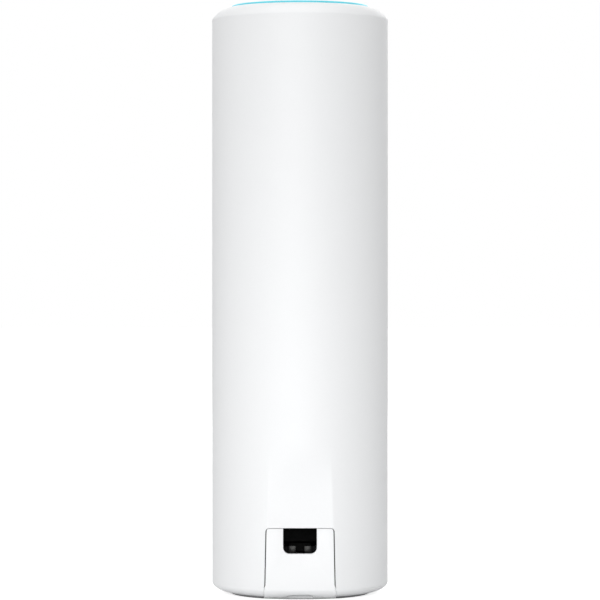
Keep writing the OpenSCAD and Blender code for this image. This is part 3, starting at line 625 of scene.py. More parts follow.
def keep_round(point):
    """Lower edge of the base: the wall's turn above, and a tuck towards the foot below."""
    sizes = panel_group("shell")
    outward = math.hypot(point.x, point.y)
    if outward < EDGE_INNER_R:
        return
    below = max(sizes.tuck_height - point.z, 0.0) / (sizes.tuck_height - BASE_LOW[2])
    new = min(outward - sizes.tuck * below ** 2, BODY_R - turn_inset(point.z))
    beside_door = point.y < 0 and abs(point.x) < DOOR_HIGH[0] + panel_group("door").gap
    if not beside_door:
        point.x *= new / outward
    point.y = math.copysign(math.sqrt(new ** 2 - point.x ** 2), point.y)


# Share of the door's edge rounding that is left beside its foot and its lip
CRISP = 0.4
# How far behind the door's front and in from its sides an edge's points lie at most, in roundings
PLATE_FRONT = 3
PLATE_SIDE = 2


def keep_flat(point):
    """Lower edge of the door: the wall's turn, on the rear flat, and sides that nearly fill the opening."""
    door = panel_group("door")
    point.y = max(point.y, facet_plane(max(point.z, SEAM_Z)) + turn_inset(point.z))
    if point.z < SEAM_Z - door.gap:
        side = DOOR_HIGH[0]
        wider = door.lip_gap - door.foot_gap
    elif point.y < facet_plane(point.z) + PLATE_FRONT * door.bevel:
        side = mix(door.bottom_width, door.top_width, (point.z - SEAM_Z) / (DOOR_TOP - SEAM_Z)) / 2
        wider = door.gap - door.foot_gap
    else:
        return
    inside = side - abs(point.x)
    if abs(inside) > PLATE_SIDE * door.bevel:
        return
    share = 1 - smooth_step((point.z - door.foot_height) / door.hook)
    point.x = math.copysign(side + share * wider - mix(inside, CRISP * inside, share), point.x)


# Half width, in degrees, and top of the patch of wall round the door's opening
PATCH_ANGLE = 27.0
PATCH_TOP = 21.5 * MM
# Band, in degrees either side of the door's middle, where the flat's edges run, and the room left beside it
EDGE_BAND = (19.2, 22.4)
BAND_ROOM = 0.5
# Degrees between the wall's columns, in general and in the band
COLUMN_STEP = 1.5
FINE_STEP = 0.2
# Heights between the wall's rows: at the door's foot, at the opening's lower corners, beside the opening,
# where the flat fades and above it
FOOT_STEP = 0.2 * MM
FLARE_STEP = 0.1 * MM
OPENING_STEP = 1.2 * MM
FADE_STEP = 0.6 * MM
WALL_STEP = 10 * MM
# Room between the foot's last row and its height, and between the fade's end and its last row
FOOT_ROOM = 0.04 * MM
FADE_ROOM = 1 * MM


def casing_columns():
    """Angles of the wall's columns from the door's middle, closer together at the flat's edges."""
    first, last = EDGE_BAND
    half = round(180 / COLUMN_STEP)
    coarse = [COLUMN_STEP * i for i in range(-half, half)]
    fine = [first + FINE_STEP * i for i in range(int((last - first) / FINE_STEP) + 1)]
    kept = [a for a in coarse if not first - BAND_ROOM < abs(a) < last + BAND_ROOM]
    return sorted(kept + fine + [-a for a in fine])


def spread(low, high, step):
    """Even values from low to high, about a step apart."""
    count = max(1, round((high - low) / step))
    return [low + (high - low) * i / count for i in range(count + 1)]


def casing_rows():
    """Heights of the wall's rows: those beside the opening, and those above it."""
    sizes = panel_group("shell")
    door = panel_group("door")
    crease = BODY_TOP - sizes.shoulder_drop
    fade_end = sizes.facet_full + sizes.facet_fade
    foot_rows = spread(SEAM_Z + sizes.edge_round, door.foot_height - FOOT_ROOM, FOOT_STEP)
    flare_rows = spread(door.foot_height, door.foot_height + door.flare, FLARE_STEP)
    low_rows = foot_rows + flare_rows + spread(flare_rows[-1], PATCH_TOP, OPENING_STEP)[1:]
    mid_rows = spread(PATCH_TOP, fade_end + FADE_ROOM, FADE_STEP)[1:]
    high_rows = spread(mid_rows[-1], crease - sizes.shoulder_crease, WALL_STEP)[1:]
    return low_rows, mid_rows + high_rows


# Two points that soften the crease under the shoulder: inset and height as shares of its softening
CREASE_POINTS = ((1 / 30, -0.3), (0.16, 0.2))
SHOULDER_STEPS = 14


def shoulder_points():
    """Section of the crease and the crowned shoulder, with the inner skin's point for each."""
    sizes = panel_group("shell")
    radius = sizes.shoulder_radius
    crease_z = BODY_TOP - sizes.shoulder_drop
    centre_z = BODY_TOP - radius
    centre_r = BODY_R - math.sqrt(radius ** 2 - (radius - sizes.shoulder_drop) ** 2)
    lip_r = panel_group("light").ring_outer + sizes.ring_gap
    start = math.degrees(math.asin((radius - sizes.shoulder_drop) / radius))
    soft = math.degrees(sizes.shoulder_crease / radius)
    end = math.degrees(math.acos((lip_r + sizes.lip_round - centre_r) / radius))
    points = [(BODY_R - inset * sizes.shoulder_crease, crease_z + rise * sizes.shoulder_crease)
              for inset, rise in CREASE_POINTS]
    points += arc((centre_r, centre_z), radius, start + soft, end, SHOULDER_STEPS)
    inner_radius = radius - sizes.wall
    inner = []
    for r, z in points:
        angle = math.atan2(z - centre_z, r - centre_r)
        inner.append((max(centre_r + inner_radius * math.cos(angle), lip_r),
                      centre_z + inner_radius * math.sin(angle)))
    return points, inner


def opening_half(z):
    """Half width of the door's opening at a height, out to where its edge's rounding begins."""
    door = panel_group("door")
    share = (z - SEAM_Z) / (DOOR_TOP - SEAM_Z)
    above = min(z - door.foot_height, door.flare)
    flare = door.flare - math.sqrt(door.flare ** 2 - (door.flare - above) ** 2) if above >= 0 else 0
    half = mix(door.bottom_width, door.top_width, share) / 2
    return half + door.gap + panel_group("shell").edge_round + flare


# Degrees of a top corner that the columns straight above it shape; those further out share the rest
CORNER_SPLIT = 50


def opening_path(side_rows, columns):
    """Points of the opening's edge and their directions into the opening, from the lower left round to the
    lower right: one for each row of the left side, each column of the top and each row of the right."""
    door = panel_group("door")
    rim = panel_group("shell").edge_round
    radius = door.corner + door.gap + rim
    top = DOOR_TOP + door.top_gap + rim
    corner_z = top - radius
    corner_x = opening_half(corner_z) - radius
    straight = corner_x + radius * math.sin(math.radians(CORNER_SPLIT))
    border_x = BODY_R * math.sin(math.radians(PATCH_ANGLE))
    start = door.foot_height + door.flare
    high = side_rows[-1]
    sides = []
    for z in side_rows[:-1]:
        at = z if z < start else mix(start, corner_z, (z - start) / (high - start))
        sides.append((opening_half(at), at, 1.0, 0.0))
    tops = []
    for angle in columns:
        x = BODY_R * math.sin(math.radians(angle))
        side = -1 if x < 0 else 1
        if abs(x) <= corner_x:
            tops.append((x, top, 0.0, -1.0))
            continue
        if abs(x) <= straight:
            turn = math.asin((abs(x) - corner_x) / radius)
        else:
            share = (abs(x) - straight) / (border_x - straight)
            turn = math.radians(mix(CORNER_SPLIT, 90, share))
        tops.append((side * (corner_x + radius * math.sin(turn)), corner_z + radius * math.cos(turn),
                     -side * math.sin(turn), -math.cos(turn)))
    left = [(-x, z, dx, dz) for x, z, dx, dz in sides]
    right = [(x, z, -dx, dz) for x, z, dx, dz in reversed(sides)]
    return left + tops + right


# Slack for comparing angles, in degrees
HAIR = 0.01
# Rings of the patch round the opening, and how much they crowd towards it
PATCH_RINGS = 6
PATCH_CROWDING = 1.4


class Sheet:
    """Outer skin of the casing, with a point of the inner skin for each of its points. For each point of a
    free edge, turns gives the way off the sheet, the way into the wall and how deep the wall is there."""

    def __init__(self):
        self.verts = []
        self.inner = []
        self.faces = []
        self.turns = {}

    def add_point(self, x, y, z, inner_r, inner_z):
        """Adds a point and the inner skin's point behind it."""
        outward = math.hypot(x, y)
        self.verts.append((x, y, z))
        self.inner.append((x / outward * inner_r, y / outward * inner_r, inner_z))
        return len(self.verts) - 1

    def wall_point(self, x, y_sign, z):
        """Adds a point of the wall, with the flat where y is negative."""
        y = wall_y(x, z) if y_sign < 0 else math.sqrt(max(BODY_R ** 2 - x ** 2, 0.0))
        outward = math.hypot(x, y)
        share = 1 - turn_inset(z) / outward
        return self.add_point(x * share, y * share, z, outward - panel_group("shell").wall, z)

    def inward(self, index):
        """Level direction from a point to the axis."""
        x, y, _ = self.verts[index]
        return Vector((-x, -y, 0)).normalized()


def wall_grid(sheet, columns, rows, patch_row):
    """Wall and shoulder as points by row and column, open where the patch goes."""
    grid = {}
    for i, z in enumerate(rows):
        for j, angle in enumerate(columns):
            if i < patch_row and abs(angle) < PATCH_ANGLE - HAIR:
                continue
            a = math.radians(angle)
            grid[i, j] = sheet.wall_point(BODY_R * math.sin(a), -math.cos(a), z)
    for i, ((r, z), (inner_r, inner_z)) in enumerate(zip(*shoulder_points()), len(rows)):
        for j, angle in enumerate(columns):
            a = math.radians(angle)
            grid[i, j] = sheet.add_point(r * math.sin(a), -r * math.cos(a), z, inner_r, inner_z)
    for i in range(max(i for i, _ in grid)):
        for j, angle in enumerate(columns):
            if i < patch_row and -PATCH_ANGLE - HAIR < angle < PATCH_ANGLE - HAIR:
                continue
            after = (j + 1) % len(columns)
            sheet.faces.append([grid[i, j], grid[i, after], grid[i + 1, after], grid[i + 1, j]])
    return grid


def opening_rings(sheet, path, border):
    """The patch round the opening: rings of points from the opening's edge out to the grid's border."""
    rings = []
    for k in range(PATCH_RINGS):
        ring = []
        t = (k / PATCH_RINGS) ** PATCH_CROWDING
        for (x, z, _, _), edge in zip(path, border):
            border_x, _, border_z = sheet.verts[edge]
            index = sheet.wall_point(mix(x, border_x, t), -1, mix(z, border_z, t))
            straight = Vector(sheet.verts[index]) + Vector((0, panel_group("shell").wall, 0))
            sheet.inner[index] = tuple(straight.lerp(Vector(sheet.inner[index]), t))
            ring.append(index)
        rings.append(ring)
    rings.append(border)
    for near, far in zip(rings, rings[1:]):
        for m in range(len(near) - 1):
            sheet.faces.append([near[m], near[m + 1], far[m + 1], far[m]])
    return rings


def turn_edges(sheet, low_edge, top_edge, rings, path):
    """Says how the wall's lower edge, the opening's edge and the lip round the light turn in."""
    sizes = panel_group("shell")
    rim = sizes.edge_round
    down = Vector((0, 0, -1))
    for index in low_edge + [ring[end] for ring in rings[:-1] for end in (0, -1)]:
        sheet.turns[index] = (down * rim, sheet.inward(index) * rim, sizes.wall)
    for index, (_, _, dx, dz) in zip(rings[0], path):
        sheet.turns[index] = (Vector((dx, 0, dz)) * rim, Vector((0, rim, 0)), sizes.wall)
    for index in (rings[0][0], rings[0][-1]):
        off, into, depth = sheet.turns[index]
        sheet.turns[index] = (off + down * rim, into, depth)
    for index in top_edge:
        sheet.turns[index] = (sheet.inward(index) * sizes.lip_round, down * sizes.lip_round, sizes.lip_depth)


def casing_sheet():
    """The casing's skin: a grid of rows and columns, with a patch of rings round the door's opening."""
    sheet = Sheet()
    columns = casing_columns()
    low_rows, upper_rows = casing_rows()
    patch_row = len(low_rows) - 1
    grid = wall_grid(sheet, columns, low_rows + upper_rows, patch_row)
    patch = [j for j, angle in enumerate(columns) if abs(angle) < PATCH_ANGLE + HAIR]
    border = [grid[i, patch[0]] for i in range(patch_row)]
    border += [grid[patch_row, j] for j in patch]
    border += [grid[i, patch[-1]] for i in reversed(range(patch_row))]
    path = opening_path(low_rows, [columns[j] for j in patch])
    rings = opening_rings(sheet, path, border)
    last = max(i for i, _ in grid)
    low_edge = [index for (i, _), index in grid.items() if i == 0]
    top_edge = [index for (i, _), index in grid.items() if i == last]
    turn_edges(sheet, low_edge, top_edge, rings, path)
    return sheet


# Degrees at which the rounding of a free edge has its points
ROUND_ANGLES = (30, 60, 90)


def close_shell(sheet):
    """Points and faces of a sheet whose free edges are rounded inwards and joined to its inner skin."""
    count = len(sheet.verts)
    points = [Vector(v) for v in sheet.verts + sheet.inner]
    faces = sheet.faces + [[count + i for i in reversed(face)] for face in sheet.faces]
    directed = {(face[i], face[(i + 1) % len(face)]) for face in sheet.faces for i in range(len(face))}
    free = [(a, b) for a, b in directed if (b, a) not in directed]
    chains = {}
    for index in sorted({i for edge in free for i in edge}):
        off, into, depth = sheet.turns[index]
        chain = [index]
        for degrees in ROUND_ANGLES:
            turn = math.radians(degrees)
            chain.append(len(points))
            points.append(points[index] + off * math.sin(turn) + into * (1 - math.cos(turn)))
        chain.append(len(points))
        points.append(points[index] + off + into.normalized() * depth)
        chain.append(count + index)
        chains[index] = chain
    for a, b in sorted(free):
        for k in range(len(ROUND_ANGLES) + 2):
            faces.append([chains[b][k], chains[a][k], chains[a][k + 1], chains[b][k + 1]])
    return points, faces


class MESHNODE_OT_casing(Operator):
    """Builds the white outer casing with its shoulder, rear flat and door opening"""
    bl_idname = "meshnode.casing"
    bl_label = "Outer casing"

    def execute(self, context):
        points, faces = close_shell(casing_sheet())
        obj = mesh_object("casing_shell", points, faces, finish_of("white_shell"), sharp=28)
        place_piece(obj, "outer_casing")
        return {"FINISHED"}


# Top

# Steps of the ring's top corners, of the cap's edge and of its crown
RING_STEPS = 6
CAP_STEPS = 5
CROWN_STEPS = 8


class MESHNODE_OT_light(Operator):
    """Builds the glowing ring and the cap inside it"""
    bl_idname = "meshnode.light"
    bl_label = "Light ring and cap"

    def execute(self, context):
        sizes = panel_group("light")
        outer = sizes.ring_outer
        inner = outer - sizes.ring_width
        low = RING_LOW[2]
        corner = sizes.ring_round
        corner_z = RING_HIGH[2] - corner
        flange_r = RING_HIGH[0]
        flange_top = low + sizes.flange_rise
        flange_low = flange_top - sizes.flange
        skirt_r = flange_r - sizes.skirt
        profile = [(flange_r, low), (flange_r, flange_top), (outer, flange_top)]
        profile += arc((outer - corner, corner_z), corner, 0, 90, RING_STEPS)
        profile += arc((inner + corner, corner_z), corner, 90, 180, RING_STEPS)
        profile += [(inner, flange_low), (skirt_r, flange_low), (skirt_r, low)]
        turned_piece("glow_ring", "light_ring", profile, closed=True)

        cap_r = CAP_HIGH[0]
        low = CAP_LOW[2]
        edge = sizes.cap_round
        crown = sizes.cap_crown
        edge_top = CAP_HIGH[2] - crown
        disc_low = CAP_HIGH[2] - sizes.cap_disc
        skirt_out = cap_r - sizes.cap_step
        skirt_in = skirt_out - sizes.cap_skirt
        profile = [(0, disc_low), (skirt_in, disc_low), (skirt_in, low), (skirt_out, low),
                   (skirt_out, disc_low), (cap_r, disc_low)]
        profile += arc((cap_r - edge, edge_top - edge), edge, 0, 90, CAP_STEPS)
        for step in range(1, CROWN_STEPS + 1):
            share = 1 - step / CROWN_STEPS
            profile.append(((cap_r - edge) * share, edge_top + crown * (1 - share ** 2)))
        turned_piece("cap_disc", "top_cap", profile, closed=False)
        return {"FINISHED"}


# Door, base and foot

# Steps round the finger arch, and how far its cutter reaches past the door
ARCH_STEPS = 28
ARCH_REACH = 1 * MM
# Heights between the rows cut into the lower edges of the door and of the base
DOOR_STEP = 0.1 * MM
BASE_STEP = 0.2 * MM


def arch_cutter():
    """Bar with the flat-topped section of the finger arch; the solid's rounder arch lies inside it."""
    door = panel_group("door")
    power = 2 / door.pull_squareness
    half = door.pull_width / 2
    rise = door.pull_top - DOOR_LOW[2]
    section = [(half, DOOR_LOW[2] - ARCH_REACH)]
    for step in range(ARCH_STEPS + 1):
        angle = math.pi * step / ARCH_STEPS
        across = math.copysign(abs(math.cos(angle)) ** power, math.cos(angle))
        section.append((half * across, DOOR_LOW[2] + rise * abs(math.sin(angle)) ** power))
    section.append((-half, DOOR_LOW[2] - ARCH_REACH))
    front = -BODY_R - ARCH_REACH
    back = facet_plane(SEAM_Z) + door.pull_depth
    count = len(section)
    verts = [(x, y, z) for y in (front, back) for x, z in section]
    faces = [(i, count + i, count + (i + 1) % count, (i + 1) % count) for i in range(count)]
    faces += [tuple(range(count)), tuple(reversed(range(count, 2 * count)))]
    # The cutter's finish, greyer as painted shade, passes to the arch's faces in the cut.
    return mesh_object("arch_cutter", verts, faces, arch_shade_polycarbonate())


class MESHNODE_OT_door(Operator):
    """Builds the lift-off rear door with its finger arch"""
    bl_idname = "meshnode.door"
    bl_label = "Rear door"

    def execute(self, context):
        door = panel_group("door")
        cutter = arch_cutter()
        panel = dressed_copy("door_panel", "rear_door", door.bevel, cutter=cutter)
        bpy.data.objects.remove(cutter)
        top = door.foot_height + door.hook
        column = door.top_width / 2 - PLATE_SIDE * door.bevel
        rows = spread(SEAM_Z + DOOR_STEP, top + DOOR_STEP, DOOR_STEP)
        turn_in(panel, rows, keep_flat, (-column, column))
        return {"FINISHED"}


class MESHNODE_OT_base(Operator):
    """Builds the base with its rounded edge and the rubber foot"""
    bl_idname = "meshnode.base"
    bl_label = "Base and foot"

    def execute(self, context):
        shell = dressed_copy("base_shell", "base_cap", 0)
        turn_in(shell, spread(BASE_LOW[2] + BASE_STEP, SEAM_Z - BASE_STEP / 2, BASE_STEP), keep_round)
        dressed_copy("foot_pad", "foot_ring", panel_group("shell").foot_round)
        return {"FINISHED"}


# Socket

# Pieces behind the door: the node that each stands for, and the rounding of its edges in mm
SOCKET_PIECES = {
    "bay_liner": ("port_bay", 0.2),
    "socket_body": ("jack_housing", 0.18),
    "socket_can": ("jack_shield", 0.08),
    "latch_tabs": ("latch_guides", 0.06),
    "reset_cap": ("reset_button", 0.15),
}


class MESHNODE_OT_socket(Operator):
    """Builds the bay, the socket and the reset button behind the door"""
    bl_idname = "meshnode.socket"
    bl_label = "Socket and bay"

    def execute(self, context):
        for piece, (node, rounding) in SOCKET_PIECES.items():
            dressed_copy(piece, node, rounding * MM)
        return {"FINISHED"}


class MESHNODE_OT_inside(Operator):
    """Gives every solid of the frame its finish, also those that a piece stands for"""
    bl_idname = "meshnode.inside"
    bl_label = "Finishes of the solids"

    def execute(self, context):
        for node, obj in frame["nodes"].items():
            obj.data.materials.clear()
            obj.data.materials.append(finish_of(NODE_SLOTS[node]))
        return {"FINISHED"}


# Small pieces that repeat

class SmallSizes(PropertyGroup):
    """Sizes of the screws, the light chips and the socket's wires"""
    head_height: length("Head height", "Height of a screw's head", 1.0)
    head_crown: length("Head crown", "Fall of a screw's head from its middle to its edge", 0.3)
    core: length("Core", "Diameter of a screw under its thread", 1.2)
    pitch: length("Pitch", "Pitch of a screw's thread", 0.7)
    recess_width: length("Recess width", "Width of the slots of a screw's cross", 0.38)
    recess_length: length("Recess length", "Length of the slots of a screw's cross", 1.75)
    recess_depth: length("Recess depth", "Depth of a screw's cross", 0.55)
    wire: length("Wire", "Thickness of the socket's wires", 0.36)
    wire_bend: length("Wire bend", "Bend of the socket's wires", 0.32)
    wire_edge: length("Wire edge", "Rounding of the edges of the socket's wires", 0.06)


def screw_tree(material):
    """Pan-head screws with a cross and a thread, one on each point, turned to the point's axis."""
    tree, size = new_tree(
        "pan_head_screws", "Head radius", "Head height", "Fall", "Recess width", "Recess length",
        "Recess depth", "Core radius", "Tip radius", "Length", "Thread radius", "Thread length", "Ridge",
        "Turns")
    # Head, crowned by the square of the distance from its axis
    blank = add(tree, "GeometryNodeMeshCone", {
        "Vertices": 32, "Side Segments": 2, "Fill Segments": 4, "Radius Top": size["Head radius"],
        "Radius Bottom": size["Head radius"], "Depth": size["Head height"]})
    place = add(tree, "GeometryNodeInputPosition")
    axes = add(tree, "ShaderNodeSeparateXYZ", {"Vector": place})
    flat = add(tree, "ShaderNodeCombineXYZ", {"X": axes.outputs["X"], "Y": axes.outputs["Y"]})
    square = add(tree, "ShaderNodeVectorMath", {0: flat, 1: flat}, operation="DOT_PRODUCT")
    high = add(tree, "ShaderNodeMath", {
        0: square.outputs["Value"], 1: axes.outputs["Z"]}, operation="MULTIPLY")
    fall = add(tree, "ShaderNodeMath", {0: high, 1: size["Fall"]}, operation="MULTIPLY")
    offset = add(tree, "ShaderNodeCombineXYZ", {"Z": fall})
    crowned = add(tree, "GeometryNodeSetPosition", {"Geometry": blank, "Offset": offset})
    # Cross, cut twice its depth high about the head's top
    deep = add(tree, "ShaderNodeMath", {0: size["Recess depth"], 1: 2.0}, operation="MULTIPLY")
    slot_size = add(tree, "ShaderNodeCombineXYZ", {
        "X": size["Recess length"], "Y": size["Recess width"], "Z": deep})
    slot = add(tree, "GeometryNodeMeshCube", {"Size": slot_size})
    top = add(tree, "ShaderNodeCombineXYZ", {"Z": size["Head height"]})
    along = add(tree, "GeometryNodeTransform", {"Geometry": slot, "Translation": top})
    across = add(tree, "GeometryNodeTransform", {"Geometry": along, "Rotation": (0, 0, math.pi / 2)})
    head = add(tree, "GeometryNodeMeshBoolean", {"Mesh 1": crowned, "Mesh 2": [along, across]},
               operation="DIFFERENCE", solver="EXACT")
    # Shank and thread, made upwards and turned over
    core = add(tree, "GeometryNodeMeshCone", {
        "Vertices": 20, "Radius Top": size["Tip radius"], "Radius Bottom": size["Core radius"],
        "Depth": size["Length"]})
    helix = add(tree, "GeometryNodeCurveSpiral", {
        "Resolution": 16, "Rotations": size["Turns"], "Start Radius": size["Thread radius"],
        "End Radius": size["Thread radius"], "Height": size["Thread length"]})
    ridge = add(tree, "GeometryNodeCurvePrimitiveCircle", {
        "Resolution": 4, "Radius": size["Ridge"]}, mode="RADIUS")
    thread = add(tree, "GeometryNodeCurveToMesh", {
        "Curve": helix, "Profile Curve": ridge, "Fill Caps": True})
    shank = add(tree, "GeometryNodeJoinGeometry", {"Geometry": [core, thread]})
    turned = add(tree, "GeometryNodeTransform", {"Geometry": shank, "Rotation": (math.pi, 0, 0)})
    screw = add(tree, "GeometryNodeJoinGeometry", {"Geometry": [head, turned]})
    axis = add(tree, "GeometryNodeInputNamedAttribute", {"Name": "axis"}, data_type="FLOAT_VECTOR")
    aim = add(tree, "FunctionNodeAlignRotationToVector", {"Vector": axis.outputs["Attribute"]}, axis="Z")
    screws = add(tree, "GeometryNodeInstanceOnPoints", {
        "Points": size["Geometry"], "Instance": screw, "Rotation": aim})
    return end_tree(tree, screws, material)


# Share of a screw's largest radius past which a point belongs to its head, and the taper of its core
HEAD_SHARE = 0.9
TIP_SHARE = 0.7
# Points nearer a screw's axis than this are the middles of its ends
END_MIDDLE = 0.1 * MM


def screw_places(node):
    """For each screw of a node: the point under its head, the axis up through the head, its length, and the
    radii of its head and shank."""
    places = []
    for points in solids(node):
        low, high = box_of(points)
        span = high - low
        along = max(range(3), key=lambda i: span[i])
        middle = (low + high) / 2
        reach = [math.hypot(*((co - middle)[i] for i in range(3) if i != along)) for co in points]
        head = [co[along] for co, r in zip(points, reach) if r > HEAD_SHARE * max(reach)]
        up = 1 if sum(head) / len(head) > middle[along] else -1
        axis = Vector([up if i == along else 0 for i in range(3)])
        under = middle + axis * (span[along] / 2 - panel_group("small").head_height)
        places.append((under, axis, span[along], max(reach), min(r for r in reach if r > END_MIDDLE)))
    return places


class MESHNODE_OT_screws(Operator):
    """Builds the screws of the base, the boards and the heat sink"""
    bl_idname = "meshnode.screws"
    bl_label = "Screws"

    def execute(self, context):
        sizes = panel_group("small")
        tree = screw_tree(finish_of("screw_steel"))
        for node in ("base_screws", "board_screws", "heat_sink_screws"):
            places = screw_places(node)
            _, _, whole, head_r, shank_r = places[0]
            shank = whole - sizes.head_height
            ridge = shank_r - sizes.core / 2
            thread = shank - 2 * ridge
            seed = seed_mesh(node, [under for under, *_ in places])
            seed.attributes.new("axis", "FLOAT_VECTOR", "POINT").data.foreach_set(
                "vector", [c for _, axis, *_ in places for c in axis])
            grown(node + "_set", node, tree, seed, {
                "Head radius": head_r, "Head height": sizes.head_height,
                "Fall": -sizes.head_crown / (head_r ** 2 * sizes.head_height),
                "Recess width": sizes.recess_width, "Recess length": sizes.recess_length,
                "Recess depth": sizes.recess_depth, "Core radius": sizes.core / 2,
                "Tip radius": TIP_SHARE * sizes.core / 2, "Length": shank, "Thread radius": shank_r - ridge,
                "Thread length": thread, "Ridge": ridge, "Turns": thread / sizes.pitch})
        return {"FINISHED"}


# Radii of a light chip's cup and gel as shares of its width, the gel's height as a share of the chip's, and
# how far the gel's middle lies under the chip's
CUP_SHARE = 0.44
GEL_SHARE = 0.32
GEL_RISE = 0.38
GEL_DROP = 0.02 * MM


def chip_tree(frame_finish, gel_finish):
    """White chips with a cup of gel, set in a ring with one side to its middle."""
    tree, size = new_tree(
        "light_chips", "Count", "Ring radius", "Middle", "Width", "Height", "Cup radius", "Gel radius",
        "Gel height")
    block_size = add(tree, "ShaderNodeCombineXYZ", {
        "X": size["Width"], "Y": size["Width"], "Z": size["Height"]})
    block = add(tree, "GeometryNodeMeshCube", {"Size": block_size})
    cup = add(tree, "GeometryNodeMeshCone", {
        "Vertices": 24, "Radius Top": size["Cup radius"], "Radius Bottom": size["Gel radius"],
        "Depth": size["Height"]})
    case = add(tree, "GeometryNodeMeshBoolean", {"Mesh 1": block, "Mesh 2": cup},
               operation="DIFFERENCE", solver="EXACT")
    gel = add(tree, "GeometryNodeMeshCone", {
        "Vertices": 24, "Radius Top": size["Gel radius"], "Radius Bottom": size["Gel radius"],
        "Depth": size["Gel height"]})
    sunk = add(tree, "GeometryNodeTransform", {"Geometry": gel, "Translation": (0, 0, -GEL_DROP)})
    marked = add(tree, "GeometryNodeStoreNamedAttribute", {
        "Geometry": sunk, "Name": "gel", "Value": True}, data_type="BOOLEAN", domain="FACE")
    chip = add(tree, "GeometryNodeJoinGeometry", {"Geometry": [case, marked]})
    ring = add(tree, "GeometryNodeMeshCircle", {"Vertices": size["Count"], "Radius": size["Ring radius"]})
    middle = add(tree, "ShaderNodeCombineXYZ", {"Z": size["Middle"]})
    raised = add(tree, "GeometryNodeTransform", {"Geometry": ring, "Translation": middle})
    place = add(tree, "GeometryNodeInputPosition")
    aim = add(tree, "FunctionNodeAlignRotationToVector", {"Vector": place}, axis="X", pivot_axis="Z")
    chips = add(tree, "GeometryNodeInstanceOnPoints", {
        "Points": raised, "Instance": chip, "Rotation": aim})
    whole = add(tree, "GeometryNodeRealizeInstances", {"Geometry": chips})
    cases = add(tree, "GeometryNodeSetMaterial", {"Geometry": whole, "Material": frame_finish})
    is_gel = add(tree, "GeometryNodeInputNamedAttribute", {"Name": "gel"}, data_type="BOOLEAN")
    dressed = add(tree, "GeometryNodeSetMaterial", {
        "Geometry": cases, "Selection": is_gel.outputs["Attribute"], "Material": gel_finish})
    add(tree, "NodeGroupOutput", {"Geometry": dressed})
    return tree


class MESHNODE_OT_chips(Operator):
    """Builds the light chips under the ring"""
    bl_idname = "meshnode.chips"
    bl_label = "Light chips"

    def execute(self, context):
        chips = [box_of(points) for points in solids("led_chips")]
        low, high = max(chips, key=lambda box: box[1].x)
        width = high.y - low.y
        height = high.z - low.z
        grown("light_chip_ring", "led_chips", chip_tree(finish_of("white_shell"), finish_of("light_chip")),
              seed_mesh("light_chip_ring", []), {
                  "Count": len(chips), "Ring radius": (low.x + high.x) / 2, "Middle": (low.z + high.z) / 2,
                  "Width": width, "Height": height, "Cup radius": CUP_SHARE * width,
                  "Gel radius": GEL_SHARE * width, "Gel height": GEL_RISE * height})
        return {"FINISHED"}


def wire_tree(material):
    """Bent square wires side by side along X; the seed is the line that one of them follows."""
    tree, size = new_tree("spring_wires", "Count", "Pitch", "First", "Thickness", "Bend", "Edge")
    line = add(tree, "GeometryNodeMeshToCurve", {"Mesh": size["Geometry"]})
    bent = add(tree, "GeometryNodeFilletCurve", {
        "Curve": line, "Count": 8, "Radius": size["Bend"], "Limit Radius": True}, mode="POLY")
    section = add(tree, "GeometryNodeCurvePrimitiveQuadrilateral", {
        "Width": size["Thickness"], "Height": size["Thickness"]}, mode="RECTANGLE")
    soft = add(tree, "GeometryNodeFilletCurve", {
        "Curve": section, "Count": 2, "Radius": size["Edge"]}, mode="POLY")
    wire = add(tree, "GeometryNodeCurveToMesh", {
        "Curve": bent, "Profile Curve": soft, "Fill Caps": True})
    first = add(tree, "ShaderNodeCombineXYZ", {"X": size["First"]})
    step = add(tree, "ShaderNodeCombineXYZ", {"X": size["Pitch"]})
    row = add(tree, "GeometryNodeMeshLine", {
        "Count": size["Count"], "Start Location": first, "Offset": step})
    wires = add(tree, "GeometryNodeInstanceOnPoints", {"Points": row, "Instance": wire})
    return end_tree(tree, wires, material)


class MESHNODE_OT_contacts(Operator):
    """Builds the spring wires in the socket's roof"""
    bl_idname = "meshnode.contacts"
    bl_label = "Socket wires"

    def execute(self, context):
        sizes = panel_group("small")
        wires = [box_of(points) for points in solids("jack_contacts")]
        low, high = wires[0]
        middles = [(box[0].x + box[1].x) / 2 for box in wires]
        half = sizes.wire / 2
        # The wire's free end comes back over two thirds of its length
        free_end = mix(low.y, high.y, 2 / 3)
        front = low.y + half
        roof = high.z - half
        line = [(0, high.y, roof), (0, front, roof), (0, front, roof - 2 * sizes.wire_bend),
                (0, free_end, low.z + half)]
        grown("socket_wires", "jack_contacts", wire_tree(finish_of("gold_plate")),
              seed_mesh("socket_wires", line, [(0, 1), (1, 2), (2, 3)]), {
                  "Count": len(wires), "Pitch": (max(middles) - min(middles)) / (len(wires) - 1),
                  "First": min(middles), "Thickness": sizes.wire, "Bend": sizes.wire_bend,
                  "Edge": sizes.wire_edge}, sharp=50)
        return {"FINISHED"}


# Stage

class StageSizes(PropertyGroup):
    """Camera and light"""
    distance: length("Distance", "Distance of the camera from the axis", 850)
    height: length("Height", "Height of the camera above the table", 88.5)
    lens: FloatProperty(
        name="Lens", description="Focal length", default=184.6, subtype="DISTANCE_CAMERA", unit="CAMERA")
    horizon_row: FloatProperty(
        name="Horizon row", description="Row of the horizon in the photograph's frame", default=272.2)
    surround: FloatProperty(
        name="Surround", description="Strength of the white surround as light", default=0.438)
    key: lamp_power("Key", "Power of the soft front light", 4.65)
    overhead: lamp_power("Overhead", "Power of the softbox above", 2.0)
    back: lamp_power("Back", "Power of the softbox behind", 1.9)
    low_fill: lamp_power("Low fill", "Power of the low strip in front", 0.046)


# Sides of the photograph's frame in pixels, and of the camera's sensor in mm
FRAME_PIXELS = 600
SENSOR = 36
# How far the camera sees, and half the floor's side, in metres
SIGHT = 20
FLOOR_HALF = 4.0
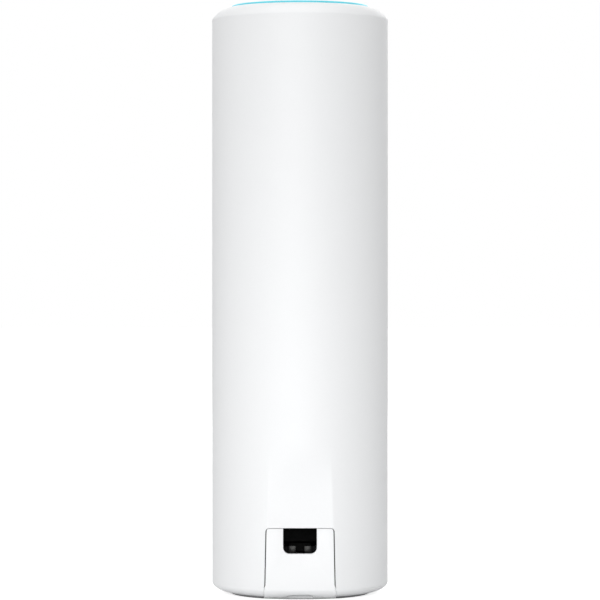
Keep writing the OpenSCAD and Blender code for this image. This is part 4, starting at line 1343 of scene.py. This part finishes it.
# Size of the paper's fibre, its white as light, its own white to the camera under and past the base, and
# the band between these as shares of the body's radius
FIBRE = 2 * MM
PAPER_WHITE = (0.93, 0.95)
OWN_WHITE = (0.22, 0.72)
SHADE_BAND = (0.74, 0.8)


def white_surround(strength):
    """White to the camera and in reflections, a plain level as light."""
    world = bpy.data.worlds.new("white_surround")
    world.use_nodes = True
    tree = world.node_tree
    tree.nodes.clear()
    path = add(tree, "ShaderNodeLightPath")
    seen = add(tree, "ShaderNodeMath", {
        0: path.outputs["Is Camera Ray"], 1: path.outputs["Is Glossy Ray"]}, operation="MAXIMUM")
    shown = add(tree, "ShaderNodeMath", {
        0: seen, 1: path.outputs["Is Transmission Ray"]}, operation="MAXIMUM")
    level = add(tree, "ShaderNodeMapRange", {"Value": shown, "To Min": strength, "To Max": 1.0})
    light = add(tree, "ShaderNodeBackground", {"Color": (1, 1, 1, 1), "Strength": level})
    add(tree, "ShaderNodeOutputWorld", {"Surface": light})
    return world


def floor_finish():
    """White paper: most of its white is its own to the camera, so that only a soft shadow shows on it.
    Under the base it has less of its own, so that the contact shadow stays dark."""
    material, tree = new_material("white_paper_floor")
    path = add(tree, "ShaderNodeLightPath")
    place = add(tree, "ShaderNodeTexCoord")
    fibre = add(tree, "ShaderNodeTexNoise", {"Vector": place.outputs["Object"], "Scale": 1 / FIBRE})
    tint = add(tree, "ShaderNodeMapRange", {
        "Value": fibre, "To Min": PAPER_WHITE[0], "To Max": PAPER_WHITE[1]})
    paper = add(tree, "ShaderNodeBsdfDiffuse", {"Color": tint})
    axes = add(tree, "ShaderNodeSeparateXYZ", {"Vector": place.outputs["Object"]})
    flat = add(tree, "ShaderNodeCombineXYZ", {"X": axes.outputs["X"], "Y": axes.outputs["Y"]})
    away = add(tree, "ShaderNodeVectorMath", {0: flat}, operation="LENGTH")
    white = add(tree, "ShaderNodeMapRange", {
        "Value": away.outputs["Value"], "From Min": SHADE_BAND[0] * BODY_R,
        "From Max": SHADE_BAND[1] * BODY_R, "To Min": OWN_WHITE[0], "To Max": OWN_WHITE[1]})
    glow = add(tree, "ShaderNodeEmission", {"Color": (1, 1, 1, 1), "Strength": white})
    both = add(tree, "ShaderNodeAddShader", {0: paper, 1: glow})
    surface = add(tree, "ShaderNodeMixShader", {"Fac": path.outputs["Is Camera Ray"], 1: paper, 2: both})
    add(tree, "ShaderNodeOutputMaterial", {"Surface": surface})
    return material


def area_lamp(name, power, place, target, size):
    lamp = bpy.data.lights.new(name, "AREA")
    lamp.shape = "RECTANGLE"
    lamp.size, lamp.size_y = size
    lamp.energy = power
    obj = add_object(name, lamp)
    obj.location = place
    obj.rotation_euler = (Vector(target) - Vector(place)).to_track_quat("-Z", "Y").to_euler()
    obj.visible_camera = False


class MESHNODE_OT_stage(Operator):
    """Sets the floor, the light and the camera"""
    bl_idname = "meshnode.stage"
    bl_label = "Stage"

    def execute(self, context):
        sizes = panel_group("stage")
        scene = context.scene
        scene.view_settings.view_transform = "Standard"
        scene.world = white_surround(sizes.surround)
        corners = [(-1, -1), (1, -1), (1, 1), (-1, 1)]
        verts = [(FLOOR_HALF * x, FLOOR_HALF * y, 0) for x, y in corners]
        floor = mesh_object("floor", verts, [(0, 1, 2, 3)], floor_finish())
        middle = (0, 0, BODY_TOP / 2)
        area_lamp("key_softbox", sizes.key, place=(-0.145, -1.1, 0.15), target=middle, size=(0.9, 0.5))
        area_lamp("overhead_softbox", sizes.overhead, place=(-0.06, -0.02, 0.8), target=middle,
                  size=(0.5, 0.5))
        area_lamp("low_strip", sizes.low_fill, place=(-0.03, -0.165, 0.03), target=(0, 0, 0.035),
                  size=(0.3, 0.02))
        area_lamp("back_softbox", sizes.back, place=(0.15, 1.0, 0.45), target=middle, size=(0.8, 0.5))

        camera = add_object("camera", bpy.data.cameras.new("camera"))
        camera.data.lens = sizes.lens
        camera.data.sensor_width = SENSOR
        camera.data.clip_end = SIGHT
        focal_pixels = sizes.lens / SENSOR * FRAME_PIXELS
        pitch = math.atan((FRAME_PIXELS / 2 - sizes.horizon_row) / focal_pixels)
        camera.location = (0, -sizes.distance, sizes.height)
        camera.rotation_euler = Euler((math.pi / 2 - pitch, 0, 0))
        scene.camera = camera
        return {"FINISHED"}


class MESHNODE_PT_panel(Panel):
    """Lists the pieces of the mesh wifi node"""
    bl_label = "Mesh wifi node"
    bl_idname = "MESHNODE_PT_panel"
    bl_space_type = "VIEW_3D"
    bl_region_type = "UI"
    bl_category = "Mesh node"

    def draw(self, context):
        for operator in OPERATORS:
            self.layout.operator(operator.bl_idname)


SETTINGS = {
    "mesh_node_shell": ShellSizes,
    "mesh_node_door": DoorSizes,
    "mesh_node_light": LightSizes,
    "mesh_node_finish": FinishColours,
    "mesh_node_small": SmallSizes,
    "mesh_node_stage": StageSizes,
}
OPERATORS = (
    MESHNODE_OT_inside,
    MESHNODE_OT_casing,
    MESHNODE_OT_light,
    MESHNODE_OT_door,
    MESHNODE_OT_base,
    MESHNODE_OT_socket,
    MESHNODE_OT_contacts,
    MESHNODE_OT_chips,
    MESHNODE_OT_screws,
    MESHNODE_OT_stage,
)
CLASSES = (*SETTINGS.values(), *OPERATORS, MESHNODE_PT_panel)


def register():
    for cls in CLASSES:
        bpy.utils.register_class(cls)
    for name, group in SETTINGS.items():
        setattr(Scene, name, PointerProperty(type=group))


def unregister():
    for name in SETTINGS:
        delattr(Scene, name)
    for cls in reversed(CLASSES):
        bpy.utils.unregister_class(cls)


def main():
    register()
    for operator in OPERATORS:
        getattr(bpy.ops.meshnode, operator.bl_idname.partition(".")[2])()


if __name__ == "__main__":
    main()
